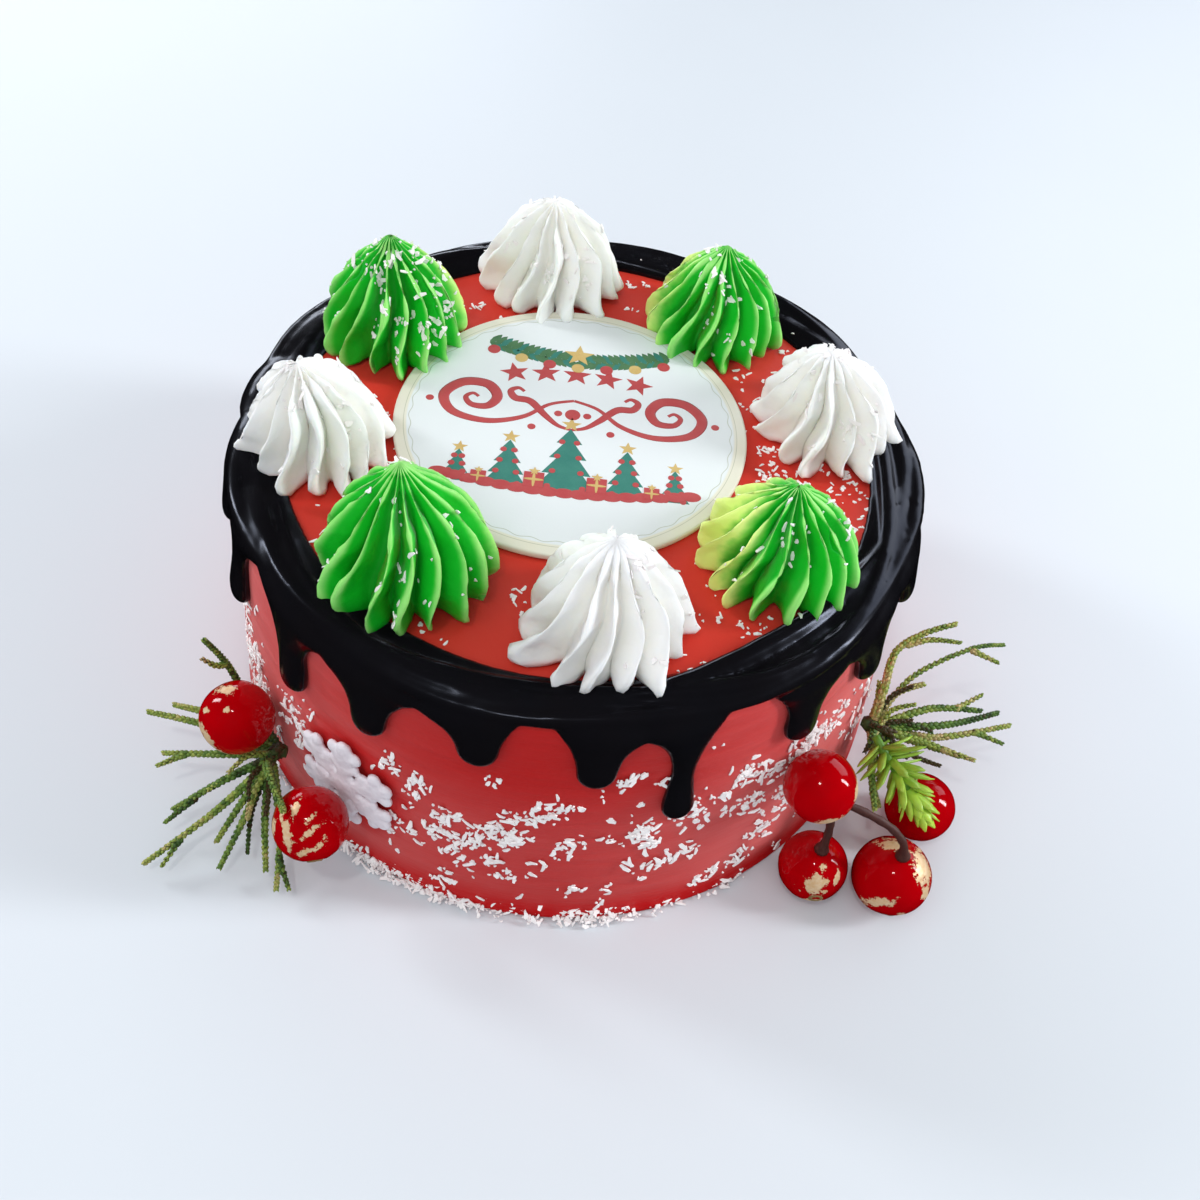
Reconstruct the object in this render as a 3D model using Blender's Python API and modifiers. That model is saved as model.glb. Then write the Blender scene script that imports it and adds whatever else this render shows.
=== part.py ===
"""A six-inch Christmas cake in red icing, with a dark chocolate drip, piped kisses,
a round icing plaque, coconut flakes, berries on wires and two evergreen sprigs.

Metres, +Z up. The origin is the centre of the cake's base, and -Y is the front.
"""

import math
import random
from collections import namedtuple

import bmesh
import bpy
from mathutils import Matrix, Vector

MM = 0.001
GAP = 0.3 * MM  # kept between two pieces that touch

# The cake: a cone frustum with a rounded shoulder
CAKE_HEIGHT = 69 * MM
CAKE_BASE_RADIUS = 79 * MM
CAKE_TOP_RADIUS = 73 * MM
SHOULDER_RADIUS = 4 * MM
FOOT_RADIUS = 1.5 * MM
CAKE_STEPS = 60

# The chocolate ring on the top edge: radius, and height over the cake's top
RING_STEPS = CAKE_STEPS
RING_INNER_RADIUS = 62.8 * MM
RING_OUTER_RADIUS = 75.2 * MM
RING_THICKNESS = 2.3 * MM
RING_LOWER_EDGE = 67.6 * MM
RING_SEAT = GAP + 0.12 * MM  # its inner curve is faceted, so it stands off a little more
RING_LIP = 0.35  # how far the crown falls at its two edges, as a share of its thickness
CROWN_INSET = (0.4 * MM, 2.0 * MM)  # from the ring's inner edge and from its outer edge
CROWN_POINTS = 6
RIDGE_HEIGHT = 0.3 * MM
RIM_DROP = 0.6 * MM  # from the cake's top down to the ring's widest place
RIM_TUCK = 1.3 * MM

# The drips: azimuth in degrees, height of the tip, width at the neck and at the bulb
Drip = namedtuple("Drip", "azimuth tip neck bulb")
FRONT_DRIPS = [
    Drip(-165.5, 51.5 * MM, 7.4 * MM, 8.6 * MM),
    Drip(-152.6, 43.8 * MM, 6.2 * MM, 8.4 * MM),
    Drip(-131.5, 45.6 * MM, 7.2 * MM, 8.2 * MM),
    Drip(-115.2, 51.5 * MM, 8.2 * MM, 8.2 * MM),
    Drip(-97.8, 55.0 * MM, 9.2 * MM, 9.0 * MM),
    Drip(-80.5, 52.8 * MM, 9.0 * MM, 8.8 * MM),
    Drip(-67.5, 39.5 * MM, 4.6 * MM, 7.0 * MM),
    Drip(-47.8, 50.0 * MM, 7.4 * MM, 8.4 * MM),
    Drip(-30.8, 49.5 * MM, 7.4 * MM, 8.4 * MM),
    Drip(-13.0, 52.5 * MM, 7.0 * MM, 8.4 * MM),
    Drip(3.5, 56.5 * MM, 8.0 * MM, 8.4 * MM),
]
BACK_DRIPS = 10
BACK_TIP = (44 * MM, 55 * MM)
BACK_NECK = (6.6 * MM, 8.6 * MM)
BACK_BULB = 8.5 * MM
BACK_WANDER = 1.8  # degrees either way
ARCH_PEAK = 68.8 * MM  # where neighbouring drips run together
ARCH_FOOT = 57 * MM  # where a drip's sides turn straight down
ARCH_REACH = 0.46  # of the way to the next drip
DRIP_SEAT = 0.5 * MM
DRIP_THICKNESS = 2.7 * MM
BULB_THICKNESS = 4.0 * MM
LONG_DRIP = 12 * MM  # a neck over this length has one more section over the bulb
ACROSS = ((-1.0, 0.0), (-0.5, 1.0), (0.5, 1.0), (1.0, 0.0))  # shares of the half width, of the thickness
# Sections of the flare and of the bulb: shares of the rise, the width and the thickness
FLARE = ((1.0, 1.0, 0.5), (0.72, 0.5, 0.92), (0.34, 0.14, 1.0), (0.0, 0.0, 1.0))
BULB = ((0.5, 1.0, 1.0), (0.14, 0.82, 0.86), (0.0, 0.3, 0.45))

# The icing plaque on the top
PLAQUE_CENTRE = (-2.8 * MM, 3.7 * MM)
PLAQUE_RADIUS = 38.6 * MM
PLAQUE_THICKNESS = 1.8 * MM
PLAQUE_EDGE = 0.5 * MM
PLAQUE_STEPS = 44

# The piped kisses
RIDGES = 14
KISS_LEVELS = (1.0, 0.88, 0.7, 0.5, 0.3, 0.12, 0.0)  # heights of the rings, tip first
Kiss = namedtuple("Kiss", "name azimuth distance radius height lean")
KISSES = [
    Kiss("kiss_white_1", 104.9, 54.6 * MM, 16.6 * MM, 24.1 * MM, (0.0, 0.0)),
    Kiss("kiss_green_1", 59.1, 50.9 * MM, 16.5 * MM, 24.7 * MM, (0.0, 0.0)),
    Kiss("kiss_white_2", 14.8, 54.4 * MM, 16.6 * MM, 22.9 * MM, (-3.1 * MM, 0.0)),
    Kiss("kiss_green_2", -33.9, 51.4 * MM, 17.0 * MM, 24.4 * MM, (0.0, 0.0)),
    Kiss("kiss_white_3", -78.7, 52.8 * MM, 17.3 * MM, 25.4 * MM, (-1.7 * MM, 0.0)),
    Kiss("kiss_green_3", -123.8, 52.9 * MM, 17.8 * MM, 30.8 * MM, (0.0, 0.0)),
    Kiss("kiss_white_4", -166.3, 55.6 * MM, 16.1 * MM, 24.4 * MM, (2.2 * MM, 0.7 * MM)),
    Kiss("kiss_green_4", 150.6, 53.3 * MM, 16.7 * MM, 27.9 * MM, (0.0, 0.0)),
]
KISS_TWIST = math.radians(16)
# How a kiss narrows: a power of the height, then one of what is left of the width
WHITE_SHAPE = (2.1, 0.84)
GREEN_SHAPE = (1.65, 0.98)
KISS_TUCK = 0.07  # how much the foot is drawn in
TUCK_HEIGHT = 0.05
KISS_TIP = 0.02
GROOVE_SHARES = (0.7, 0.9)  # a groove's share of the ridge's radius at the foot and at the tip

# The icing snowflake on the side
FLAKE_AZIMUTH = -119.8
FLAKE_HEIGHT = 28.6 * MM
FLAKE_RADIUS = 13.6 * MM
FLAKE_THICKNESS = 3.2 * MM
FLAKE_BACK_GAP = 0.5 * MM
FLAKE_OUTLINE = (1.0, 0.94, 0.66, 0.72, 0.5)  # from an arm's tip to the notch beside it
# From the middle of the face, over the edge, to the middle of the back
FLAKE_SPREAD = (0.0, 0.84, 1.0, 0.96, 0.0)
FLAKE_DEPTH = (1.0, 0.96, 0.5, 0.0, 0.0)

# The berries: centre, radius and the way the blossom end points
Berry = namedtuple("Berry", "name centre radius end")
BERRIES = [
    Berry("berry_left_1", (-64.8, -55.9, 29.0), 7.9, (-0.5, -0.4, -0.8)),
    Berry("berry_left_2", (-43.9, -76.7, 26.0), 7.8, (0.3, -0.9, -0.5)),
    Berry("berry_right_1", (58.4, -60.1, 40.2), 7.6, (0.3, -0.6, -0.8)),
    Berry("berry_right_2", (89.3, -41.9, 8.3), 8.0, (0.8, 0.2, -0.3)),
    Berry("berry_right_3", (64.0, -60.9, 8.2), 7.8, (0.1, -0.9, -0.1)),
    Berry("berry_right_4", (81.5, -61.2, 9.2), 8.8, (0.1, -0.7, -0.6)),
]
BERRY_SEGMENTS = 12
BERRY_RINGS = 8
DIMPLE = 0.8  # how far the two ends of a berry are drawn in, in millimetres

# The wire that carries the right berries, in millimetres
WIRE_RADIUS = 0.9 * MM
WIRE_STEM = [(57.6, -53.0, 31.4), (63.0, -57.0, 31.4), (70.0, -58.6, 30.2),
             (76.4, -59.8, 27.4), (80.2, -60.8, 23.4), (81.5, -61.2, 18.6)]
WIRE_BRANCH = [(62.0, -56.4, 31.4), (63.6, -59.4, 27.4), (64.1, -60.9, 22.4), (64.1, -61.2, 16.6)]

# The sprigs: each twig's points in millimetres, from the stem outwards, and its forks
TWIG_RADIUS = 1.15
FORK_RADIUS = 0.9
Sprig = namedtuple("Sprig", "name stem stem_radius twigs forks")
LEFT_SPRIG = Sprig(
    "sprig_left",
    [(-56.1, -55.1, 17.6), (-57.4, -57.2, 18.6), (-58.6, -60.8, 19.6)],
    2.1,
    [
        [(-56.8, -56.0, 18.0), (-66.0, -46.6, 21.0), (-69.6, -45.4, 33.0), (-72.4, -47.0, 43.0)],
        [(-57.0, -56.4, 18.0), (-72.6, -50.6, 19.4), (-82.0, -49.4, 20.0)],
        [(-57.0, -56.8, 18.0), (-74.0, -51.6, 16.6), (-88.6, -49.7, 16.0)],
        [(-57.4, -57.2, 18.4), (-70.6, -58.0, 16.0), (-83.4, -57.3, 12.0)],
        [(-57.8, -58.4, 18.6), (-68.4, -63.6, 14.0), (-78.2, -68.5, 8.0)],
        [(-57.8, -58.8, 18.6), (-67.6, -68.6, 11.4), (-81.4, -80.4, 4.4)],
        [(-57.6, -59.2, 18.6), (-62.8, -66.8, 12.6), (-67.4, -73.7, 6.0)],
        [(-57.8, -59.6, 18.8), (-61.6, -69.4, 11.2), (-65.4, -79.0, 4.4)],
        [(-57.8, -60.0, 18.8), (-57.2, -69.4, 11.8), (-55.5, -78.2, 4.6)],
        [(-57.6, -59.6, 18.8), (-53.6, -70.6, 11.6), (-52.1, -82.2, 4.4)],
        [(-57.8, -60.2, 19.4), (-54.4, -68.8, 31.6), (-48.2, -78.9, 34.0)],
        [(-57.8, -60.6, 19.6), (-60.0, -66.4, 16.0), (-60.6, -70.6, 12.6)],
    ],
    [
        [(-70.6, -45.6, 36.4), (-74.4, -44.4, 40.4)],
        [(-77.6, -57.7, 14.0), (-83.6, -61.0, 12.6)],
        [(-73.4, -66.2, 10.6), (-79.6, -71.2, 6.4)],
        [(-74.6, -74.8, 7.6), (-77.5, -80.6, 4.6)],
        [(-52.9, -76.2, 8.2), (-49.4, -82.0, 4.6)],
        [(-54.6, -67.8, 29.0), (-47.6, -79.4, 35.0)],
    ],
)
RIGHT_SPRIG = Sprig(
    "sprig_right",
    [(71.6, -32.2, 25.6), (74.6, -33.4, 26.0), (78.0, -34.6, 26.0)],
    2.1,
    [
        [(74.0, -32.8, 26.2), (76.4, -22.6, 36.4), (89.4, -13.5, 42.0)],
        [(74.2, -32.8, 26.2), (82.0, -22.0, 31.0), (95.4, -13.4, 33.6), (103.4, -11.0, 34.0)],
        [(74.2, -33.0, 26.2), (78.4, -26.4, 29.6), (84.6, -23.4, 31.0)],
        [(75.0, -33.4, 26.2), (87.0, -27.4, 27.4), (99.3, -25.0, 26.0)],
        [(75.4, -33.6, 26.0), (92.0, -28.6, 23.8), (103.9, -23.8, 24.4)],
        [(75.6, -33.8, 26.0), (90.6, -30.2, 20.6), (108.3, -23.7, 20.0)],
        [(75.8, -34.0, 26.0), (85.4, -32.0, 20.0), (96.3, -31.3, 16.0)],
        [(76.0, -34.2, 26.0), (86.0, -33.6, 23.0), (95.0, -34.6, 20.6)],
        [(75.6, -34.6, 25.8), (78.0, -36.4, 18.4), (79.0, -38.0, 11.4)],
        [(74.6, -34.0, 25.8), (73.6, -44.0, 24.6), (74.6, -52.7, 22.4)],
    ],
    [
        [(80.4, -19.4, 38.4), (90.8, -17.4, 40.4)],
        [(95.4, -13.4, 33.6), (102.6, -14.6, 31.6)],
        [(93.0, -26.2, 26.8), (99.6, -21.4, 27.4)],
        [(99.2, -27.0, 20.4), (106.8, -28.0, 18.4)],
        [(90.6, -34.1, 21.8), (98.0, -36.6, 22.6)],
    ],
)

# The bright needle tuft that lies over the right sprig
TUFT_STEM = [(73.4, -38.6, 29.6), (76.2, -42.4, 28.0), (81.0, -46.8, 24.6), (84.4, -49.6, 21.6)]
TUFT_RADIUS = 1.2
NEEDLES = 14
NEEDLE_LENGTH = (5.6, 7.0)  # at the foot and at the tip of the stem, like their lean in degrees
NEEDLE_LEAN = (52, 14)
NEEDLE_TURN = math.radians(137.5)
NEEDLE_RADIUS = 0.85

# The coconut: drifts on the side, each from one azimuth and height to another
SHRED_SEED = 24
SHRED_LENGTH = (2.6 * MM, 4.6 * MM)
SHRED_WIDTH = 1.1 * MM
SHRED_THICKNESS = 0.8 * MM
SHRED_BEND = 0.5 * MM
SHRED_ARCH = 0.12 * MM
SHRED_TAPER = 0.7
SHRED_ROOM = 3.4 * MM  # kept from a shred's middle to any other piece
SHRED_SPACING = 5.0 * MM
SHRED_TRIES = 60
ROOT_ROOM = 7 * MM
LOWEST_SHRED = 2.4 * MM
FLAT_LYING = 3.2 * MM  # a shred under this height lies level, so that it stays off the board
Drift = namedtuple("Drift", "start end spread count")
FRONT_DRIFTS = [
    Drift((-101, 24 * MM), (-88, 38 * MM), 4 * MM, 9),
    Drift((-86, 41 * MM), (-75, 48 * MM), 1.6 * MM, 3),
    Drift((-73, 26 * MM), (-53, 44 * MM), 2.4 * MM, 6),
    Drift((-68, 20 * MM), (-51, 14 * MM), 5 * MM, 4),
    Drift((-84, 33 * MM), (-75, 12 * MM), 3 * MM, 4),
    Drift((-108, 40 * MM), (-104, 41 * MM), 1.6 * MM, 2),
    Drift((-113, 3 * MM), (-92, 3 * MM), 0.8 * MM, 6),
    Drift((-156, 20 * MM), (-147, 38 * MM), 4 * MM, 5),
    Drift((-39, 34 * MM), (-30, 42 * MM), 2.4 * MM, 4),
]
BACK_DRIFTS = 4
BACK_DRIFT_COUNT = 4
BACK_DRIFT_AZIMUTHS = (30, 180)
BACK_DRIFT_REACH = 9  # degrees either way
BACK_DRIFT_HEIGHTS = (12 * MM, 32 * MM)
BACK_DRIFT_RISE = 12 * MM
BACK_DRIFT_SPREAD = 4 * MM
TOP_SHREDS = 12


def clear_scene():
    for obj in list(bpy.data.objects):
        bpy.data.objects.remove(obj, do_unlink=True)


def new_collection(name):
    collection = bpy.data.collections.new(name)
    bpy.context.scene.collection.children.link(collection)
    return collection


def new_material(name, colour, roughness, metallic=0.0):
    material = bpy.data.materials.new(name)
    material.use_nodes = True
    shader = material.node_tree.nodes["Principled BSDF"]
    shader.inputs["Base Color"].default_value = (*colour, 1.0)
    shader.inputs["Roughness"].default_value = roughness
    shader.inputs["Metallic"].default_value = metallic
    return material


def new_object(name, mesh, collection, material=None):
    obj = bpy.data.objects.new(name, mesh)
    collection.objects.link(obj)
    if material:
        mesh.materials.append(material)
    return obj


def mesh_from(bm, name):
    mesh = bpy.data.meshes.new(name)
    bm.to_mesh(mesh)
    bm.free()
    return mesh


def shade_round(obj):
    obj.data.shade_smooth()
    obj.data.set_sharp_from_angle(angle=math.radians(40))


def make_helper(obj):
    obj.hide_render = True
    obj.display_type = "WIRE"


def evaluated_mesh(obj):
    graph = bpy.context.evaluated_depsgraph_get()
    return bpy.data.meshes.new_from_object(obj.evaluated_get(graph))


def turned(name, profile, steps, collection, material=None, closed=False):
    """A profile of (radius, height) points, top to bottom down its outer side, turned about Z."""
    bm = bmesh.new()
    points = [bm.verts.new((radius, 0.0, height)) for radius, height in profile]
    for first, second in zip(points, points[1:]):
        bm.edges.new((first, second))
    if closed:
        bm.edges.new((points[-1], points[0]))
    obj = new_object(name, mesh_from(bm, name), collection, material)
    screw = obj.modifiers.new("Turn", "SCREW")
    screw.steps = screw.render_steps = steps
    screw.use_merge_vertices = True
    screw.merge_threshold = 0.00001
    screw.use_smooth_shade = True
    return obj


def loft(name, sections):
    """A closed mesh through sections that have the same number of points."""
    bm = bmesh.new()
    rings = [[bm.verts.new(point) for point in section] for section in sections]
    for upper, lower in zip(rings, rings[1:]):
        for i in range(len(upper)):
            j = (i + 1) % len(upper)
            bm.faces.new((upper[i], upper[j], lower[j], lower[i]))
    bm.faces.new(rings[0])
    bm.faces.new(rings[-1])
    bmesh.ops.triangulate(bm, faces=bm.faces)
    bmesh.ops.recalc_face_normals(bm, faces=bm.faces)
    return mesh_from(bm, name)


def tube(name, points, radii, collection, material=None, roundness=1):
    """A tapered tube through points in millimetres, as a closed mesh."""
    curve = bpy.data.curves.new(name, "CURVE")
    curve.dimensions = "3D"
    curve.bevel_depth = MM
    curve.bevel_resolution = roundness
    curve.use_fill_caps = True
    spline = curve.splines.new("POLY")
    spline.points.add(len(points) - 1)
    for i, (point, place) in enumerate(zip(spline.points, points)):
        along = i / (len(points) - 1)
        point.co = (*(Vector(place) * MM), 1.0)
        point.radius = radii[0] + (radii[1] - radii[0]) * along
    guide = bpy.data.objects.new(name + "_curve", curve)
    collection.objects.link(guide)
    bpy.context.view_layer.update()
    bm = bmesh.new()
    bm.from_mesh(evaluated_mesh(guide))
    bmesh.ops.remove_doubles(bm, verts=bm.verts, dist=0.00001)
    bmesh.ops.recalc_face_normals(bm, faces=bm.faces)
    obj = new_object(name, mesh_from(bm, name), collection, material)
    obj.matrix_world = guide.matrix_world
    bpy.data.objects.remove(guide, do_unlink=True)
    return obj


def join_pieces(target, pieces):
    """Fuses every object of the collection to the target, and removes them."""
    bpy.context.view_layer.update()
    union = target.modifiers.new("Join", "BOOLEAN")
    union.operation = "UNION"
    union.operand_type = "COLLECTION"
    union.solver = "EXACT"
    union.collection = pieces
    bpy.context.view_layer.update()
    mesh = evaluated_mesh(target)
    target.modifiers.clear()
    target.data = mesh
    for piece in list(pieces.objects):
        bpy.data.objects.remove(piece, do_unlink=True)
    bpy.data.collections.remove(pieces)


def cut(obj, cutter):
    difference = obj.modifiers.new("Cut " + cutter.name, "BOOLEAN")
    difference.operation = "DIFFERENCE"
    difference.solver = "EXACT"
    difference.object = cutter


def polar(azimuth, radius, height):
    """The point at an azimuth in degrees."""
    angle = math.radians(azimuth)
    return Vector((radius * math.cos(angle), radius * math.sin(angle), height))


def between(low, high, share):
    return low + (high - low) * share


def surface_radius(height):
    """The cake's outer radius at a height, over its side and rounded shoulder."""
    side = between(CAKE_BASE_RADIUS, CAKE_TOP_RADIUS, height / CAKE_HEIGHT)
    rise = height - (CAKE_HEIGHT - SHOULDER_RADIUS)
    if rise <= 0:
        return side
    reach = math.sqrt(max(SHOULDER_RADIUS**2 - rise**2, 0.0))
    return side - SHOULDER_RADIUS + reach


def arc(centre, radius, start, end, count):
    """Points of an arc in the profile's plane, angles in degrees."""
    points = []
    for i in range(count):
        angle = math.radians(between(start, end, i / (count - 1)))
        points.append((centre[0] + radius * math.cos(angle), centre[1] + radius * math.sin(angle)))
    return points


def cake_profile():
    shoulder = (CAKE_TOP_RADIUS - SHOULDER_RADIUS, CAKE_HEIGHT - SHOULDER_RADIUS)
    foot = (CAKE_BASE_RADIUS - FOOT_RADIUS, FOOT_RADIUS)
    return [
        (0.0, CAKE_HEIGHT),
        *arc(shoulder, SHOULDER_RADIUS, 90, 5, 3),
        *arc(foot, FOOT_RADIUS, 5, -90, 3),
        (0.0, 0.0),
    ]


def crown(grow):
    """The ring's upper side from its inner edge outwards, grown by a distance."""
    points = [(RING_INNER_RADIUS - grow, CAKE_HEIGHT + GAP)]
    for i in range(CROWN_POINTS):
        share = i / (CROWN_POINTS - 1)
        radius = between(RING_INNER_RADIUS + CROWN_INSET[0], RING_OUTER_RADIUS - CROWN_INSET[1], share)
        lip = 1 - RING_LIP * (2 * abs(share - 0.5)) ** 6
        ridge = RIDGE_HEIGHT * math.cos((CROWN_POINTS - 1) * math.pi * share)
        height = CAKE_HEIGHT + RING_THICKNESS * lip - ridge
        points.append((radius + grow * (2 * share - 1), height + grow))
    return points


def ring_profile():
    shoulder = (CAKE_TOP_RADIUS - SHOULDER_RADIUS, CAKE_HEIGHT - SHOULDER_RADIUS)
    rim = [
        (RING_OUTER_RADIUS - 0.3 * RIM_TUCK, CAKE_HEIGHT + 0.5 * RIM_DROP),
        (RING_OUTER_RADIUS, CAKE_HEIGHT - RIM_DROP),
        (RING_OUTER_RADIUS - RIM_TUCK, RING_LOWER_EDGE),
    ]
    return crown(0.0) + rim + arc(shoulder, SHOULDER_RADIUS + RING_SEAT, 38, 90, 3)


def all_drips():
    """The drips in order round the cake, the hidden ones by a rule like the front's."""
    start, end = FRONT_DRIPS[-1].azimuth, FRONT_DRIPS[0].azimuth + 360
    step = (end - start) / (BACK_DRIPS + 1)
    back = []
    for i in range(1, BACK_DRIPS + 1):
        azimuth = start + step * i + BACK_WANDER * math.sin(2.4 * i)
        tip = between(*BACK_TIP, 0.5 + 0.5 * math.cos(1.9 * i))
        neck = between(*BACK_NECK, 0.5 + 0.5 * math.sin(3.1 * i))
        back.append(Drip(azimuth, tip, neck, BACK_BULB))
    return FRONT_DRIPS + back


def drip_section(azimuth, height, left, right, thickness):
    """A drip's outline at one height: the round front, then the back that follows the cake."""
    back = surface_radius(min(height, CAKE_HEIGHT - SHOULDER_RADIUS + MM)) + DRIP_SEAT
    points = []
    for share, swell in ACROSS:
        offset = share * (left if share < 0 else right)
        turn = math.degrees(offset / back)
        points.append(polar(azimuth + turn, back + swell * thickness, height))
    points.append(polar(azimuth, back, height))
    return points


def drip_mesh(drip, left_gap, right_gap):
    """A drip that flares into the ring above and ends in a round bulb."""
    sections = []
    neck, bulb = drip.neck / 2, drip.bulb / 2
    foot = max(ARCH_FOOT, drip.tip + 0.75 * drip.bulb)
    for rise, flare, swell in FLARE:
        height = between(foot, ARCH_PEAK, rise)
        left = between(neck, max(neck, ARCH_REACH * left_gap), flare)
        right = between(neck, max(neck, ARCH_REACH * right_gap), flare)
        sections.append(drip_section(drip.azimuth, height, left, right, DRIP_THICKNESS * swell))
    if foot - drip.tip > LONG_DRIP:
        height = drip.tip + 1.15 * drip.bulb
        sections.append(drip_section(drip.azimuth, height, neck, neck, DRIP_THICKNESS))
    for rise, width, swell in BULB:
        height = drip.tip + rise * drip.bulb
        half = bulb * width
        sections.append(drip_section(drip.azimuth, height, half, half, BULB_THICKNESS * swell))
    return loft("drip", sections)


def build_cake(collection, material):
    return turned("cake_body", cake_profile(), CAKE_STEPS, collection, material)


def build_chocolate(collection, material, drips):
    ring = turned("chocolate_drip", ring_profile(), RING_STEPS, collection, material, closed=True)
    pieces = new_collection("drips")
    for i, drip in enumerate(drips):
        before = (drip.azimuth - drips[i - 1].azimuth) % 360
        after = (drips[(i + 1) % len(drips)].azimuth - drip.azimuth) % 360
        left = math.radians(before) * CAKE_TOP_RADIUS
        right = math.radians(after) * CAKE_TOP_RADIUS
        new_object(f"drip_{i}", drip_mesh(drip, left, right), pieces)
    join_pieces(ring, pieces)
    shade_round(ring)
    return ring


def plaque_profile(grow):
    top = CAKE_HEIGHT + GAP + PLAQUE_THICKNESS + grow
    edge = PLAQUE_RADIUS + grow
    foot = CAKE_HEIGHT + GAP - grow
    return [(0.0, top), (edge - PLAQUE_EDGE, top), (edge, top - PLAQUE_EDGE), (edge, foot), (0.0, foot)]


def build_plaque(collection, material):
    plaque = turned("icing_plaque", plaque_profile(0.0), PLAQUE_STEPS, collection, material)
    plaque.location = (*PLAQUE_CENTRE, 0.0)
    return plaque


def kiss_radius(height, pointed):
    """The share of a kiss's full radius at a share of its height."""
    belly, taper = GREEN_SHAPE if pointed else WHITE_SHAPE
    tuck = 1 - KISS_TUCK * math.exp(-height / TUCK_HEIGHT)
    return tuck * max(1 - height**belly, 0.0) ** taper + KISS_TIP


def build_kiss(kiss, collection, material, cutters):
    """A star-tip swirl: a sphere whose meridians become ridges and grooves."""
    pointed = "green" in kiss.name
    levels = len(KISS_LEVELS)
    bm = bmesh.new()
    bmesh.ops.create_uvsphere(bm, u_segments=2 * RIDGES, v_segments=levels, radius=1.0)
    for vert in bm.verts:
        level = round(math.acos(max(-1.0, min(1.0, vert.co.z))) / (math.pi / levels))
        if level == levels:
            vert.co = (0.0, 0.0, 0.0)
            continue
        height = KISS_LEVELS[level]
        angle = math.atan2(vert.co.y, vert.co.x)
        groove = round(angle / (math.pi / RIDGES)) % 2
        radius = kiss.radius * kiss_radius(height, pointed) if level else 0.0
        if groove:
            radius *= between(*GROOVE_SHARES, height)
        turn = angle + KISS_TWIST * height
        lean = height**2
        vert.co = (
            radius * math.cos(turn) + kiss.lean[0] * lean,
            radius * math.sin(turn) + kiss.lean[1] * lean,
            kiss.height * height,
        )
    obj = new_object(kiss.name, mesh_from(bm, kiss.name), collection, material)
    obj.location = polar(kiss.azimuth, kiss.distance, CAKE_HEIGHT + GAP)
    obj.rotation_euler.z = math.radians(kiss.azimuth)
    for cutter in cutters:
        cut(obj, cutter)
    return obj


def build_rooms(collection):
    """The ring's and the plaque's shapes, grown by the gap, that cut the kisses from below."""
    floor = CAKE_HEIGHT - MM
    profile = [(RING_INNER_RADIUS - GAP, floor), *crown(GAP)]
    profile += [(RING_OUTER_RADIUS + 5 * MM, profile[-1][1]), (RING_OUTER_RADIUS + 5 * MM, floor)]
    ring_room = turned("ring_room", profile, RING_STEPS, collection, closed=True)
    plaque_room = turned("plaque_room", plaque_profile(GAP), PLAQUE_STEPS, collection)
    plaque_room.location = (*PLAQUE_CENTRE, 0.0)
    for room in (ring_room, plaque_room):
        make_helper(room)
    return ring_room, plaque_room


def build_snowflake(collection, material):
    """A flattened sphere with a six-armed outline, bent round the cake's side."""
    per_arm = 2 * (len(FLAKE_OUTLINE) - 1)
    levels = len(FLAKE_SPREAD) - 1
    bm = bmesh.new()
    bmesh.ops.create_uvsphere(bm, u_segments=6 * per_arm, v_segments=levels, radius=1.0)
    for vert in bm.verts:
        level = round(math.acos(max(-1.0, min(1.0, vert.co.z))) / (math.pi / levels))
        angle = math.atan2(vert.co.y, vert.co.x)
        step = round(angle / (math.pi / 3 / per_arm)) % per_arm
        outline = FLAKE_OUTLINE[min(step, per_arm - step)]
        reach = FLAKE_RADIUS * outline * FLAKE_SPREAD[level]
        across = reach * math.cos(angle + math.pi / 2)
        height = FLAKE_HEIGHT + reach * math.sin(angle + math.pi / 2)
        back = surface_radius(height) + FLAKE_BACK_GAP
        azimuth = FLAKE_AZIMUTH + math.degrees(across / back)
        vert.co = polar(azimuth, back + FLAKE_THICKNESS * FLAKE_DEPTH[level], height)
    return new_object("snowflake", mesh_from(bm, "snowflake"), collection, material)


def build_berry(berry, collection, material):
    """A sphere drawn in a little at the stalk and at the blossom end."""
    bm = bmesh.new()
    bmesh.ops.create_uvsphere(bm, u_segments=BERRY_SEGMENTS, v_segments=BERRY_RINGS, radius=berry.radius * MM)
    for vert in bm.verts:
        end = (abs(vert.co.z) / (berry.radius * MM)) ** 24
        vert.co.z -= math.copysign(DIMPLE * MM * end, vert.co.z)
    obj = new_object(berry.name, mesh_from(bm, berry.name), collection, material)
    obj.location = Vector(berry.centre) * MM
    obj.rotation_mode = "QUATERNION"
    obj.rotation_quaternion = Vector(berry.end).to_track_quat("Z", "Y")
    shade_round(obj)
    return obj


def build_wires(collection, material):
    radii = (WIRE_RADIUS / MM, WIRE_RADIUS / MM)
    wires = tube("berry_wires", WIRE_STEM, radii, collection, material)
    pieces = new_collection("branches")
    tube("branch", WIRE_BRANCH, radii, pieces)
    join_pieces(wires, pieces)
    return wires


def build_sprig(sprig, collection, material):
    """A stem with its twigs and their forks fused into one solid."""
    radii = (sprig.stem_radius, sprig.stem_radius)
    stem = tube(sprig.name, sprig.stem, radii, collection, material)
    pieces = new_collection(sprig.name + "_twigs")
    for i, points in enumerate(sprig.twigs):
        tube(f"twig_{i}", points, (TWIG_RADIUS, 0.55 * TWIG_RADIUS), pieces)
    for i, points in enumerate(sprig.forks):
        tube(f"fork_{i}", points, (FORK_RADIUS, 0.6 * FORK_RADIUS), pieces)
    join_pieces(stem, pieces)
    return stem


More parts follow.
